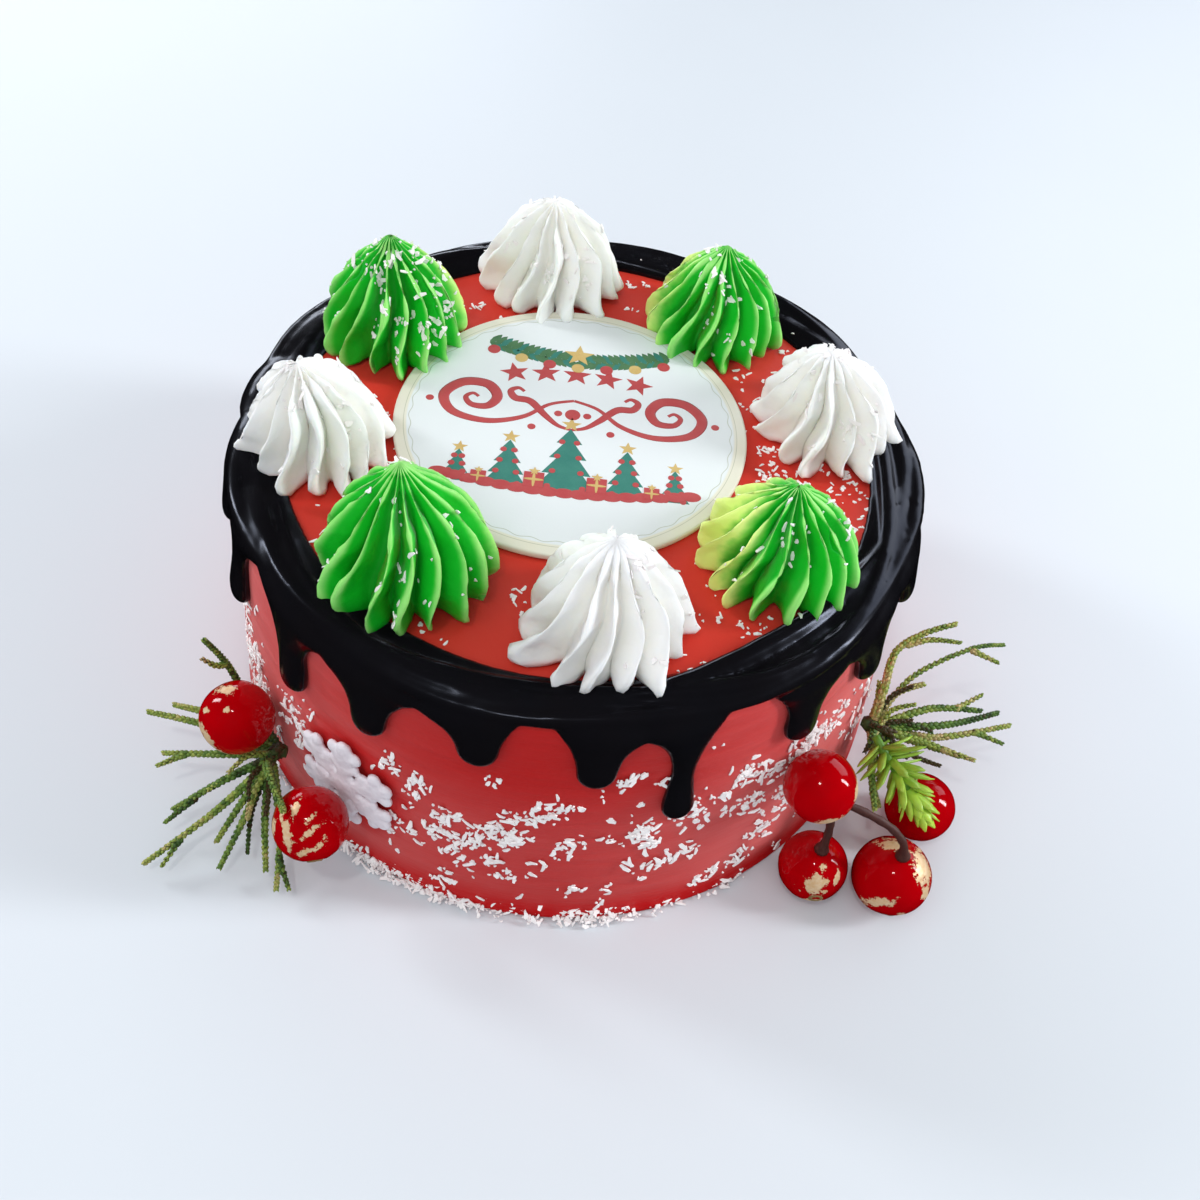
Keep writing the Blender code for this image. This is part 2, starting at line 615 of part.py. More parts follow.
def build_tuft(collection, material):
    """A short stem with needles that point forwards along it, turned round it by a fixed angle."""
    tuft = tube("needle_tuft", TUFT_STEM, (TUFT_RADIUS, 0.8 * TUFT_RADIUS), collection, material)
    pieces = new_collection("needles")
    start, end = Vector(TUFT_STEM[1]), Vector(TUFT_STEM[-1])
    along = (end - start).normalized()
    across = along.cross(Vector((0.0, 0.0, 1.0))).normalized()
    for i in range(NEEDLES):
        share = i / (NEEDLES - 1)
        turned_by = Matrix.Rotation(NEEDLE_TURN * i, 3, along)
        lean = math.radians(between(*NEEDLE_LEAN, share))
        way = along * math.cos(lean) + (turned_by @ across) * math.sin(lean)
        foot = start.lerp(end, share)
        length = between(*NEEDLE_LENGTH, share)
        points = [foot, foot + way * length]
        tube(f"needle_{i}", points, (NEEDLE_RADIUS, 0.4 * NEEDLE_RADIUS), pieces, roundness=0)
    join_pieces(tuft, pieces)
    return tuft


def shred_mesh(length, bend):
    """A coconut shred: a bar bent in the middle."""
    bm = bmesh.new()
    size = Matrix.Diagonal((length, SHRED_WIDTH, SHRED_THICKNESS, 1.0))
    bmesh.ops.create_cube(bm, size=1.0, matrix=size)
    lengthways = [e for e in bm.edges if abs(e.verts[0].co.x - e.verts[1].co.x) > length / 2]
    bmesh.ops.subdivide_edges(bm, edges=lengthways, cuts=1)
    for vert in bm.verts:
        if abs(vert.co.x) < length / 4:
            vert.co.y += bend
            vert.co.z += SHRED_ARCH
        else:
            vert.co.y *= SHRED_TAPER
    return mesh_from(bm, "shred")


def on_side(azimuth, height):
    """A shred's place on the side: half sunk, lying flat, its width up and down."""
    point = polar(azimuth, surface_radius(height), height)
    slope = math.atan2(CAKE_BASE_RADIUS - CAKE_TOP_RADIUS, CAKE_HEIGHT)
    outward = polar(azimuth, math.cos(slope), math.sin(slope))
    return point, outward


def drip_reaches(azimuth, height, drips):
    """True where the chocolate, or the room that a shred needs beside it, covers the side."""
    if height > ARCH_FOOT:
        return True
    for drip in drips:
        away = math.radians(abs((azimuth - drip.azimuth + 180) % 360 - 180)) * CAKE_TOP_RADIUS
        if away < drip.bulb / 2 + SHRED_ROOM and height > drip.tip - SHRED_ROOM:
            return True
    return False


def side_is_free(point, azimuth, height, drips):
    if drip_reaches(azimuth, height, drips):
        return False
    flake = polar(FLAKE_AZIMUTH, surface_radius(FLAKE_HEIGHT), FLAKE_HEIGHT)
    if (point - flake).length < FLAKE_RADIUS + SHRED_ROOM:
        return False
    if any((point - Vector(b.centre) * MM).length < b.radius * MM + SHRED_ROOM for b in BERRIES):
        return False
    roots = (LEFT_SPRIG.stem[0], RIGHT_SPRIG.stem[0], WIRE_STEM[0])
    return all((point - Vector(root) * MM).length > ROOT_ROOM for root in roots)


def side_places(rng, drips):
    """Where the shreds lie on the side: the drifts of the front, then a like set behind."""
    drifts = list(FRONT_DRIFTS)
    for i in range(BACK_DRIFTS):
        azimuth = between(*BACK_DRIFT_AZIMUTHS, i / (BACK_DRIFTS - 1))
        height = between(*BACK_DRIFT_HEIGHTS, 0.5 + 0.5 * math.sin(2.1 * i))
        start = (azimuth - BACK_DRIFT_REACH, height)
        end = (azimuth + BACK_DRIFT_REACH, height + BACK_DRIFT_RISE)
        drifts.append(Drift(start, end, BACK_DRIFT_SPREAD, BACK_DRIFT_COUNT))
    places = []
    for drift in drifts:
        found = 0
        for _ in range(SHRED_TRIES):
            if found == drift.count:
                break
            share = rng.random()
            azimuth = between(drift.start[0], drift.end[0], share) + rng.gauss(0, 0.5)
            height = between(drift.start[1], drift.end[1], share) + rng.gauss(0, 0.5) * drift.spread
            height = max(height, LOWEST_SHRED)
            point, outward = on_side(azimuth, height)
            crowded = any((point - other[0]).length < SHRED_SPACING for other in places)
            if crowded or not side_is_free(point, azimuth, height, drips):
                continue
            places.append((point, outward))
            found += 1
    return places


def top_is_free(point):
    radius = math.hypot(point.x, point.y)
    if radius > RING_INNER_RADIUS - SHRED_ROOM:
        return False
    plaque = Vector((*PLAQUE_CENTRE, point.z))
    if (point - plaque).length < PLAQUE_RADIUS + SHRED_ROOM:
        return False
    for kiss in KISSES:
        if (point - polar(kiss.azimuth, kiss.distance, point.z)).length < kiss.radius + SHRED_ROOM:
            return False
    return True


def top_places(rng):
    """Where the shreds lie on the top: in what shows between plaque, kisses and chocolate."""
    places = []
    for _ in range(TOP_SHREDS * SHRED_TRIES):
        if len(places) == TOP_SHREDS:
            break
        radius = between(PLAQUE_RADIUS, RING_INNER_RADIUS, rng.random())
        point = polar(rng.uniform(-180, 180), radius, CAKE_HEIGHT)
        crowded = any((point - other[0]).length < SHRED_SPACING for other in places)
        if not crowded and top_is_free(point):
            places.append((point, Vector((0.0, 0.0, 1.0))))
    return places


def add_shreds(cake, drips):
    """Fuses the largest coconut shreds to the cake, lying flat on it and half sunk."""
    rng = random.Random(SHRED_SEED)
    pieces = new_collection("shreds")
    for i, (point, outward) in enumerate(side_places(rng, drips) + top_places(rng)):
        bend = rng.uniform(-SHRED_BEND, SHRED_BEND)
        obj = new_object(f"shred_{i}", shred_mesh(rng.uniform(*SHRED_LENGTH), bend), pieces)
        lay = outward.to_track_quat("Z", "Y").to_matrix().to_4x4()
        spin = rng.uniform(0, math.pi) if point.z > FLAT_LYING else rng.uniform(-0.15, 0.15)
        obj.matrix_world = Matrix.Translation(point) @ lay @ Matrix.Rotation(spin, 4, "Z")
    join_pieces(cake, pieces)
    shade_round(cake)


def main():
    clear_scene()
    parts = new_collection("christmas_cake")
    cutters = new_collection("cutters")
    red_icing = new_material("red_icing", (0.62, 0.09, 0.07), 0.5)
    chocolate = new_material("dark_chocolate", (0.008, 0.007, 0.009), 0.22)
    white_icing = new_material("white_icing", (0.86, 0.86, 0.83), 0.4)
    white_cream = new_material("white_cream", (0.88, 0.86, 0.82), 0.5)
    green_cream = new_material("green_cream", (0.03, 0.38, 0.03), 0.45)
    berry_red = new_material("berry_red", (0.38, 0.005, 0.01), 0.15)
    wire = new_material("brown_wire", (0.05, 0.012, 0.012), 0.5)
    evergreen = new_material("evergreen", (0.11, 0.17, 0.04), 0.6)
    lime = new_material("lime_needles", (0.25, 0.5, 0.05), 0.55)

    drips = all_drips()
    cake = build_cake(parts, red_icing)
    add_shreds(cake, drips)
    build_chocolate(parts, chocolate, drips)
    build_plaque(parts, white_icing)
    rooms = build_rooms(cutters)
    for kiss in KISSES:
        build_kiss(kiss, parts, green_cream if "green" in kiss.name else white_cream, rooms)
    build_snowflake(parts, white_icing)
    for berry in BERRIES:
        build_berry(berry, parts, berry_red)
    build_wires(parts, wire)
    for sprig in (LEFT_SPRIG, RIGHT_SPRIG):
        build_sprig(sprig, parts, evergreen)
    build_tuft(parts, lime)


main()
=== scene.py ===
"""The looks of a six-inch Christmas cake: red icing, a dark chocolate drip, piped kisses, an icing
plaque, coconut, an icing snowflake, berries and evergreen sprigs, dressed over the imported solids.

Metres, +Z up. The origin is the centre of the cake's base, and -Y is the front.
"""

import logging
import math
import random
from collections.abc import Callable, Iterator, Sequence
from contextlib import contextmanager
from dataclasses import dataclass, field
from enum import Enum

import bmesh
import bpy
from mathutils import Matrix, Vector
from mathutils.bvhtree import BVHTree

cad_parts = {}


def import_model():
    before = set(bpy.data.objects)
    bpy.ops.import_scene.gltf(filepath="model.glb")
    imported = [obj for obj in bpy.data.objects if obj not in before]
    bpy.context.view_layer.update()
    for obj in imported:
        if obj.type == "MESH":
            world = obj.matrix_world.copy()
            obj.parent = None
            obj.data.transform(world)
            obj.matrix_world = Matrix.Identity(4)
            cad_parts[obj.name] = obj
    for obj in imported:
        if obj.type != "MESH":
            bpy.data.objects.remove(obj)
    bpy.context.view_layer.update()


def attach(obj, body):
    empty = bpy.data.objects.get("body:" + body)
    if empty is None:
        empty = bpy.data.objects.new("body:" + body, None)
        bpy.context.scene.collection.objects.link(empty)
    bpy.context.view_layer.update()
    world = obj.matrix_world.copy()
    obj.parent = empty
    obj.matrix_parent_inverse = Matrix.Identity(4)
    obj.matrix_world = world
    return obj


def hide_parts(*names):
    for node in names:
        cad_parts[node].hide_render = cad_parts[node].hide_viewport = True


MM = 0.001
ORIGIN = (0.0, 0.0, 0.0)
UP = Vector((0.0, 0.0, 1.0))
DOWN = -UP
# Places closer than this count as one
CLOSE = 0.01 * MM
ROOT = "root"
LOG = logging.getLogger("christmas_cake")

Colour = tuple[float, float, float, float]
Point = tuple[float, float, float]
Pair = tuple[float, float]
Pairs = tuple[Pair, ...]
Knots = tuple[Point, ...]
Piece = bpy.types.Object
Material = bpy.types.Material
# Says of a corner, an edge or a face whether it is selected
Test = Callable[..., bool]


def tint(code: str) -> Colour:
    """Turns a screen colour such as "D9584A" into the linear values that a shader takes.

    Args:
        code: The colour as six hexadecimal digits.

    Returns:
        The linear red, green and blue, and an alpha of 1.
    """
    shares = [int(code[i : i + 2], 16) / 255 for i in (0, 2, 4)]
    linear = [s / 12.92 if s <= 0.04045 else ((s + 0.055) / 1.055) ** 2.4 for s in shares]
    return (linear[0], linear[1], linear[2], 1.0)


def between(low: float, high: float, share: float) -> float:
    """Returns the value at a share of the way from low to high."""
    return low + (high - low) * share


def lookup(pairs: Sequence[Pair], where: float) -> float:
    """Reads a value off a line through pairs of place and value, level beyond both its ends.

    Args:
        pairs: The places, from low to high, with their values.
        where: The place.

    Returns:
        The value there.
    """
    for (before, low), (after, high) in zip(pairs, pairs[1:]):
        if where <= after:
            return between(low, high, max(0.0, where - before) / (after - before))
    return pairs[-1][1]


def polar(azimuth: float, radius: float, height: float) -> Vector:
    """Returns the point at an azimuth in degrees, counted from +X towards +Y."""
    angle = math.radians(azimuth)
    return Vector((radius * math.cos(angle), radius * math.sin(angle), height))


class Port:
    """A shader value. Python's operators on it add Math nodes."""

    def __init__(self, graph: "Graph", socket: bpy.types.NodeSocket) -> None:
        """Wraps an output socket of the graph's tree."""
        self.graph = graph
        self.socket = socket

    def _math(self, operation: str, first: "Value", second: "Value", clamp: bool = False) -> "Port":
        """Adds one Math node.

        Args:
            operation: The node's operation.
            first: Its first value.
            second: Its second value.
            clamp: Whether the result is kept between 0 and 1.

        Returns:
            The node's result.
        """
        settings = {"operation": operation, "use_clamp": clamp}
        return self.graph.add("ShaderNodeMath", settings, {0: first, 1: second})

    def __add__(self, other: "Value") -> "Port":
        """Returns self + other."""
        return self._math("ADD", self, other)

    def __radd__(self, other: "Value") -> "Port":
        """Returns other + self."""
        return self._math("ADD", other, self)

    def __sub__(self, other: "Value") -> "Port":
        """Returns self - other."""
        return self._math("SUBTRACT", self, other)

    def __rsub__(self, other: "Value") -> "Port":
        """Returns other - self."""
        return self._math("SUBTRACT", other, self)

    def __mul__(self, other: "Value") -> "Port":
        """Returns self * other."""
        return self._math("MULTIPLY", self, other)

    def __rmul__(self, other: "Value") -> "Port":
        """Returns other * self."""
        return self._math("MULTIPLY", other, self)

    def __truediv__(self, other: "Value") -> "Port":
        """Returns self / other."""
        return self._math("DIVIDE", self, other)

    def __pow__(self, other: "Value") -> "Port":
        """Returns self raised to other."""
        return self._math("POWER", self, other)

    def sine(self) -> "Port":
        """Returns the sine of the value in radians."""
        return self._math("SINE", self, 0.0)

    def clamped(self) -> "Port":
        """Returns the value kept between 0 and 1."""
        return self._math("ADD", self, 0.0, clamp=True)

    def ramp(self, low: float, high: float) -> "Port":
        """Returns 0 up to low and 1 from high, with a soft rise between them."""
        inputs: dict[int | str, Value] = {"Value": self, "From Min": low, "From Max": high}
        return self.graph.add("ShaderNodeMapRange", {"interpolation_type": "SMOOTHSTEP"}, inputs)


Value = Port | float | int | tuple | str


class Graph:
    """One material's node tree, built from expressions."""

    def __init__(self, name: str) -> None:
        """Starts a material with its Principled shader.

        Args:
            name: The material's name.
        """
        self.material = bpy.data.materials.new(name)
        self.material.use_nodes = True
        self.tree = self.material.node_tree
        self.shader = self.tree.nodes["Principled BSDF"]

    def add(
        self, kind: str, settings: dict[str, object], inputs: dict[int | str, Value], output: int | str = 0
    ) -> Port:
        """Adds one node.

        Args:
            kind: The node's type.
            settings: Its properties, set first. "stops" holds a colour ramp's places and colours.
            inputs: The values or links of its sockets, by name or number.
            output: The socket that is returned.

        Returns:
            That output.
        """
        node = self.tree.nodes.new(kind)
        for name, setting in settings.items():
            if name == "stops":
                self._set_stops(node.color_ramp, setting)
            else:
                setattr(node, name, setting)
        for key, value in inputs.items():
            self._plug(node.inputs[key], value)
        return Port(self, node.outputs[output])

    def _set_stops(self, ramp: bpy.types.ColorRamp, stops: Sequence[tuple[float, Colour]]) -> None:
        """Fills a colour ramp.

        Args:
            ramp: The colour ramp.
            stops: Its places and colours.
        """
        while len(ramp.elements) < len(stops):
            ramp.elements.new(1.0)
        for element, (place, colour) in zip(ramp.elements, stops):
            element.position = place
            element.color = colour

    def _plug(self, socket: bpy.types.NodeSocket, value: Value) -> None:
        """Links a value to a socket, or sets it there."""
        if isinstance(value, Port):
            self.tree.links.new(value.socket, socket)
        else:
            socket.default_value = value

    def place(self) -> Port:
        """Returns the Object coordinates, in metres."""
        return self.add("ShaderNodeTexCoord", {}, {}, "Object")

    def axis(self, name: str) -> Port:
        """Returns one of the Object coordinates, by its letter."""
        return self.add("ShaderNodeSeparateXYZ", {}, {"Vector": self.place()}, name)

    def stretched(self, scale: Point) -> Port:
        """Returns the Object coordinates, scaled on each axis."""
        return self.add("ShaderNodeMapping", {}, {"Vector": self.place(), "Scale": scale})

    def attribute(self, name: str) -> Port:
        """Returns a number that the piece's mesh carries."""
        return self.add("ShaderNodeAttribute", {"attribute_name": name}, {}, "Fac")

    def noise(
        self, grain: float, detail: float = 3.0, roughness: float = 0.5, vector: "Port | None" = None
    ) -> Port:
        """Adds noise.

        Args:
            grain: The size of its blotches, in millimetres.
            detail: The number of finer layers.
            roughness: How strong the finer layers are.
            vector: Other coordinates than the Object ones.

        Returns:
            The noise, from 0 to 1.
        """
        inputs: dict[int | str, Value] = {
            "Vector": vector or self.place(),
            "Scale": 1 / (grain * MM),
            "Detail": detail,
            "Roughness": roughness,
        }
        return self.add("ShaderNodeTexNoise", {}, inputs, "Fac")

    def mix(self, share: Value, first: Value, second: Value) -> Port:
        """Returns the colour between first and second at a share of the way."""
        settings = {"data_type": "RGBA", "clamp_factor": True}
        return self.add("ShaderNodeMix", settings, {0: share, 6: first, 7: second}, 2)

    def bump(self, height: Port, depth: float, under: "Port | None" = None) -> Port:
        """Adds relief.

        Args:
            height: The relief, from 0 to 1.
            depth: How deep it is, in millimetres.
            under: A relief that lies below it.

        Returns:
            The bent normal.
        """
        inputs: dict[int | str, Value] = {"Height": height, "Distance": depth * MM, "Strength": 1.0}
        if under:
            inputs["Normal"] = under
        return self.add("ShaderNodeBump", {}, inputs)

    def finish(self, **sockets: Value) -> Material:
        """Sets the Principled shader's sockets, with _ for a space, and returns the material."""
        for name, value in sockets.items():
            self._plug(self.shader.inputs[name.replace("_", " ").title().replace("Ior", "IOR")], value)
        return self.material


@dataclass(frozen=True)
class RedIcing:
    """Smooth red icing: coral on the top, red on the side, with painted sheen and painted shade on the side.
    """

    top: Colour = tint("D63C2E")
    side: Colour = tint("C21412")
    # Painted sheen: the pink that stands in for the window's and the board's light on the side
    blush: Colour = tint("E0706E")
    # Painted shade: the deep red along the foot, round the snowflake and in random patches
    deep: Colour = tint("C80004")
    rim_height: float = 66 * MM
    # How high the painted shade along the foot reaches
    foot_shade_height: float = 12 * MM
    # Painted sheen: between which heights the side turns pink, and how far aside it is pinkest
    painted_sheen_heights: Pair = (52 * MM, 30 * MM)
    painted_sheen_aside: float = 75 * MM
    # Painted shade round the snowflake: where it is centred, and how far it reaches
    snowflake_shade: Point = (-39 * MM, -68 * MM, 28.6 * MM)
    snowflake_shade_reach: float = 18 * MM

    def material(self) -> Material:
        """Returns the icing's material."""
        graph = Graph("red_icing")
        height = graph.axis("Z")
        cloudy = graph.noise(28, 2)
        smear = graph.noise(9, 3, vector=graph.stretched((0.35, 0.35, 3.0)))
        grain = graph.noise(1.2, 2)
        upper = height.ramp(self.rim_height, self.rim_height + 3 * MM)
        middle = height.ramp(*self.painted_sheen_heights)
        aside = (graph.axis("X") / self.painted_sheen_aside) ** 2.0
        # Painted sheen: pinker low on the side and towards its left and right
        painted_sheen = (middle * 0.3 + aside * 1.35).clamped() * (0.7 + 0.5 * smear)
        colour = graph.mix(upper, graph.mix(painted_sheen.clamped(), self.side, self.blush), self.top)
        # Painted shade: deeper red along the foot
        foot = 1 - height.ramp(3 * MM, self.foot_shade_height)
        colour = graph.mix(foot, colour, self.deep)
        # Painted shade: deeper red round the snowflake
        x, y, z = ((graph.axis(name) - place) ** 2.0 for name, place in zip("XYZ", self.snowflake_shade))
        away = (x + y + z) ** 0.5 + (smear - 0.5) * 6 * MM
        colour = graph.mix(away.ramp(self.snowflake_shade_reach, self.snowflake_shade_reach - 6 * MM) * 0.75, colour, self.deep)
        # Painted shade: deeper red in random patches
        colour = graph.mix((cloudy - 0.35).clamped() * 0.5, colour, self.deep)
        rough = 0.42 + 0.2 * smear
        relief = graph.bump(smear, 0.35, graph.bump(grain, 0.05))
        return graph.finish(
            base_color=colour, roughness=rough, specular_ior_level=0.26, normal=relief,
            subsurface_weight=0.2, subsurface_radius=(2.0, 0.4, 0.25), subsurface_scale=MM,
        )


@dataclass(frozen=True)
class DarkChocolate:
    """Near-black chocolate with the spatula's fine lines and a soft gloss."""

    colour: Colour = tint("0D0E12")
    warm: Colour = tint("120F11")
    line_pitch: float = 0.9 * MM

    def material(self) -> Material:
        """Returns the chocolate's material."""
        graph = Graph("dark_chocolate")
        across = graph.axis("X") * graph.axis("X") + graph.axis("Y") * graph.axis("Y")
        radius = across**0.5
        waver = graph.noise(16, 2)
        lines = (radius / self.line_pitch * math.tau + waver * 26).sine() * 0.5 + 0.5
        patch = graph.noise(7, 2).ramp(0.48, 0.7)
        grain = graph.noise(0.7, 3)
        colour = graph.mix(graph.noise(12, 2), self.colour, self.warm)
        rough = 0.16 + 0.12 * graph.noise(5, 3)
        relief = graph.bump(lines * patch, 0.005, graph.bump(grain, 0.004))
        return graph.finish(
            base_color=colour, roughness=rough, normal=relief, specular_ior_level=0.24,
            specular_tint=tint("D6E2FF"),
        )


@dataclass(frozen=True)
class WhiteCream:
    """Whipped white buttercream, with painted shade in its grooves and painted red reflection at its foot."""

    crest: Colour = tint("FFFFFE")
    # Painted shade: the duller cream in the grooves
    groove_shade: Colour = tint("F5F4EC")
    # Painted reflection of the red icing: its pink, and the height below which it shows
    red_reflection: Colour = tint("E88A80")
    red_reflection_height: float = 71.4 * MM

    def material(self) -> Material:
        """Returns the cream's material."""
        graph = Graph("white_cream")
        crest = graph.attribute("crest")
        grain = graph.noise(0.9, 3)
        soft = graph.noise(3.5, 2)
        # Painted shade in the grooves, white on the crests
        colour = graph.mix(crest, self.groove_shade, self.crest)
        # Painted reflection: pink from the red icing near the foot
        low = graph.axis("Z").ramp(self.red_reflection_height, self.red_reflection_height - 2 * MM)
        colour = graph.mix(low * (0.2 + 0.9 * soft), colour, self.red_reflection)
        relief = graph.bump(soft, 0.25, graph.bump(grain, 0.06))
        return graph.finish(
            base_color=colour, roughness=0.4 + 0.15 * grain, normal=relief, subsurface_weight=0.35,
            subsurface_radius=(1.4, 1.2, 1.0), subsurface_scale=1.2 * MM,
        )


@dataclass(frozen=True)
class GreenCream:
    """Green buttercream with a yellow streak on one side, painted shade in grooves and painted highlight on
    crests.
    """

    flank: Colour = tint("14C82C")
    # Painted shade: the darker green in the grooves
    groove_shade: Colour = tint("0CA81F")
    # Painted highlight: the paler green along the crests
    crest: Colour = tint("9CEC7C")
    yellow: Colour = tint("E9FF92")

    def material(self) -> Material:
        """Returns the cream's material."""
        graph = Graph("green_cream")
        crest = graph.attribute("crest")
        streak = graph.attribute("yellow")
        grain = graph.noise(0.9, 3)
        soft = graph.noise(3.5, 2)
        # Painted shade: darker green towards the grooves
        colour = graph.mix(crest.ramp(0.0, 0.45), self.groove_shade, self.flank)
        # Painted highlight: paler green along the crests
        edge = crest.ramp(0.66, 1.02) ** 1.8 * (0.6 + 0.8 * soft)
        colour = graph.mix(edge, colour, self.crest)
        yellow = (streak * (0.5 + 0.9 * soft) * (0.25 + 0.8 * crest)).ramp(0.14, 0.6)
        colour = graph.mix(yellow, colour, self.yellow)
        relief = graph.bump(soft, 0.2, graph.bump(grain, 0.05))
        return graph.finish(
            base_color=colour, roughness=0.34 + 0.14 * grain, specular_ior_level=0.35, normal=relief,
            subsurface_weight=0.2, subsurface_radius=(0.8, 1.4, 0.6), subsurface_scale=MM,
        )


@dataclass(frozen=True)
class SugarSheet:
    """The plaque's white sugar sheet: a cream rim and a fine double line round it."""

    centre: Pair
    radius: float
    white: Colour = tint("E7ECEE")
    cream: Colour = tint("E6E1CB")
    line: Colour = tint("A9AD93")
    # Each line's distance from the edge and its half width, and the number and height of its waves
    wavy: Pair = (3.6 * MM, 0.16 * MM)
    plain: Pair = (2.3 * MM, 0.13 * MM)
    waves: int = 40
    wave_height: float = 0.28 * MM
    # Between which distances from the edge the rim turns to cream
    rim: Pair = (3.2 * MM, 2.6 * MM)

    def material(self) -> Material:
        """Returns the sheet's material."""
        graph = Graph("sugar_sheet")
        x = graph.axis("X") - self.centre[0]
        y = graph.axis("Y") - self.centre[1]
        away = (x * x + y * y) ** 0.5
        angle = graph.add("ShaderNodeMath", {"operation": "ARCTAN2"}, {0: y, 1: x})
        wave = (angle * self.waves).sine() * self.wave_height
        wavy = self._ring(away + wave, *self.wavy)
        plain = self._ring(away, *self.plain)
        rim = away.ramp(self.radius - self.rim[0], self.radius - self.rim[1])
        blotch = graph.noise(6, 3)
        colour = graph.mix(rim * (0.6 + 0.4 * blotch), self.white, self.cream)
        colour = graph.mix((wavy + plain).clamped() * (0.5 + 0.5 * blotch), colour, self.line)
        grain = graph.noise(0.5, 3)
        ripple = graph.noise(14, 1)
        relief = graph.bump(ripple, 0.5, graph.bump(grain, 0.02))
        return graph.finish(base_color=colour, roughness=0.42 + 0.1 * blotch, normal=relief)

    def _ring(self, away: Port, inset: float, width: float) -> Port:
        """Draws a thin circle.

        Args:
            away: The distance from the middle.
            inset: How far inside the edge the circle lies.
            width: Half its width.

        Returns:
            1 on the circle and 0 off it.
        """
        radius = self.radius - inset
        inner = away.ramp(radius - width, radius)
        outer = away.ramp(radius, radius + width)
        return inner - outer


@dataclass(frozen=True)
class Ink:
    """Food ink printed on the sheet, faintly uneven."""

    name: str
    colour: Colour
    pale: Colour

    def material(self) -> Material:
        """Returns the ink's material."""
        graph = Graph(self.name)
        dots = graph.noise(0.35, 2)
        wash = graph.noise(3, 2)
        colour = graph.mix((dots * 0.35 + wash * 0.5).clamped(), self.colour, self.pale)
        return graph.finish(base_color=colour, roughness=0.45 + 0.1 * dots)


@dataclass(frozen=True)
class Coconut:
    """Dried coconut, white with faint grey patches."""

    white: Colour = tint("FFFCFB")
    grey: Colour = tint("EDE4E4")

    def material(self) -> Material:
        """Returns the coconut's material."""
        graph = Graph("coconut")
        patch = graph.noise(2, 2)
        fibre = graph.noise(0.3, 2)
        colour = graph.mix(patch * graph.attribute("tone"), self.white, self.grey)
        return graph.finish(
            base_color=colour, roughness=0.55 + 0.2 * fibre, normal=graph.bump(fibre, 0.03)
        )


@dataclass(frozen=True)
class SnowIcing:
    """Matt white moulded icing."""

    white: Colour = tint("F1EDF2")
    shade: Colour = tint("DDD5DE")

    def material(self) -> Material:
        """Returns the snowflake's material."""
        graph = Graph("snow_icing")
        lumps = graph.noise(1.6, 3)
        grain = graph.noise(0.5, 3)
        colour = graph.mix(lumps, self.shade, self.white)
        relief = graph.bump(lumps, 0.25, graph.bump(grain, 0.08))
        return graph.finish(base_color=colour, roughness=0.6 + 0.15 * grain, normal=relief)


@dataclass(frozen=True)
class BerrySkin:
    """Glossy red lacquer with torn patches of gold leaf."""

    red: Colour = tint("BC000A")
    dark: Colour = tint("960006")
    gold: Colour = tint("DDAA66")
    pale_gold: Colour = tint("F8E4C6")

    def material(self) -> Material:
        """Returns the berry's material."""
        graph = Graph("berry_skin")
        blush = graph.noise(7, 2)
        torn = graph.noise(1.9, 6, 0.75)
        leaf = (graph.attribute("leaf") + (torn - 0.5) * 2.6).ramp(0.4, 0.46)
        crackle = graph.noise(0.8, 3)
        skin = graph.mix(blush, self.red, self.dark)
        gilt = graph.mix(crackle, self.gold, self.pale_gold)
        return graph.finish(
            base_color=graph.mix(leaf, skin, gilt), metallic=leaf * 0.25,
            roughness=0.07 + leaf * (0.23 + 0.2 * crackle), specular_ior_level=0.24,
            normal=graph.bump(leaf * crackle, 0.12),
        )


@dataclass(frozen=True)
class Evergreen:
    """Scaly evergreen: by its tone brown, dark green, fresh green or gilded."""

    brown: Colour = tint("4A2E16")
    deep: Colour = tint("2C4A20")
    leaf: Colour = tint("668C36")
    fresh: Colour = tint("A8B850")
    gold: Colour = tint("D8BC84")

    def material(self) -> Material:
        """Returns the evergreen's material."""
        graph = Graph("evergreen")
        tone = graph.attribute("tone") + (graph.noise(3, 2) - 0.5) * 0.7
        shades = (self.brown, self.deep, self.leaf, self.fresh, self.gold)
        stops = tuple(zip((0.0, 0.12, 0.34, 0.62, 0.9), shades))
        colour = graph.add("ShaderNodeValToRGB", {"stops": stops}, {0: tone})
        grain = graph.noise(0.45, 2)
        colour = graph.mix(grain.ramp(0.35, 0.6) * 0.45, colour, self.deep)
        gilt = tone.ramp(0.7, 1.0)
        return graph.finish(
            base_color=colour, metallic=gilt * 0.25, roughness=0.55 - 0.18 * gilt,
            normal=graph.bump(grain, 0.08),
        )


@dataclass(frozen=True)
class FreshNeedles:
    """Waxy young needles, lime towards the tip of the spray."""

    deep: Colour = tint("5A8C22")
    lime: Colour = tint("B9DC4C")

    def material(self) -> Material:
        """Returns the needles' material."""
        graph = Graph("lime_needles")
        tone = graph.attribute("tone") + (graph.noise(1.6, 2) - 0.5) * 0.5
        colour = graph.mix(tone.clamped(), self.deep, self.lime)
        wax = {"subsurface_weight": 0.1, "subsurface_scale": 0.6 * MM}
        return graph.finish(base_color=colour, roughness=0.38, **wax)


@dataclass(frozen=True)
class Bark:
    """Paper-wrapped wire and dried stalk ends."""

    name: str = "brown_wire"
    colour: Colour = tint("3A1A18")
    pale: Colour = tint("5A3026")

    def material(self) -> Material:
        """Returns the wire's material."""
        graph = Graph(self.name)
        wrap = graph.noise(0.7, 3)
        colour = graph.mix(wrap, self.colour, self.pale)
        return graph.finish(base_color=colour, roughness=0.5 + 0.2 * wrap, normal=graph.bump(wrap, 0.1))


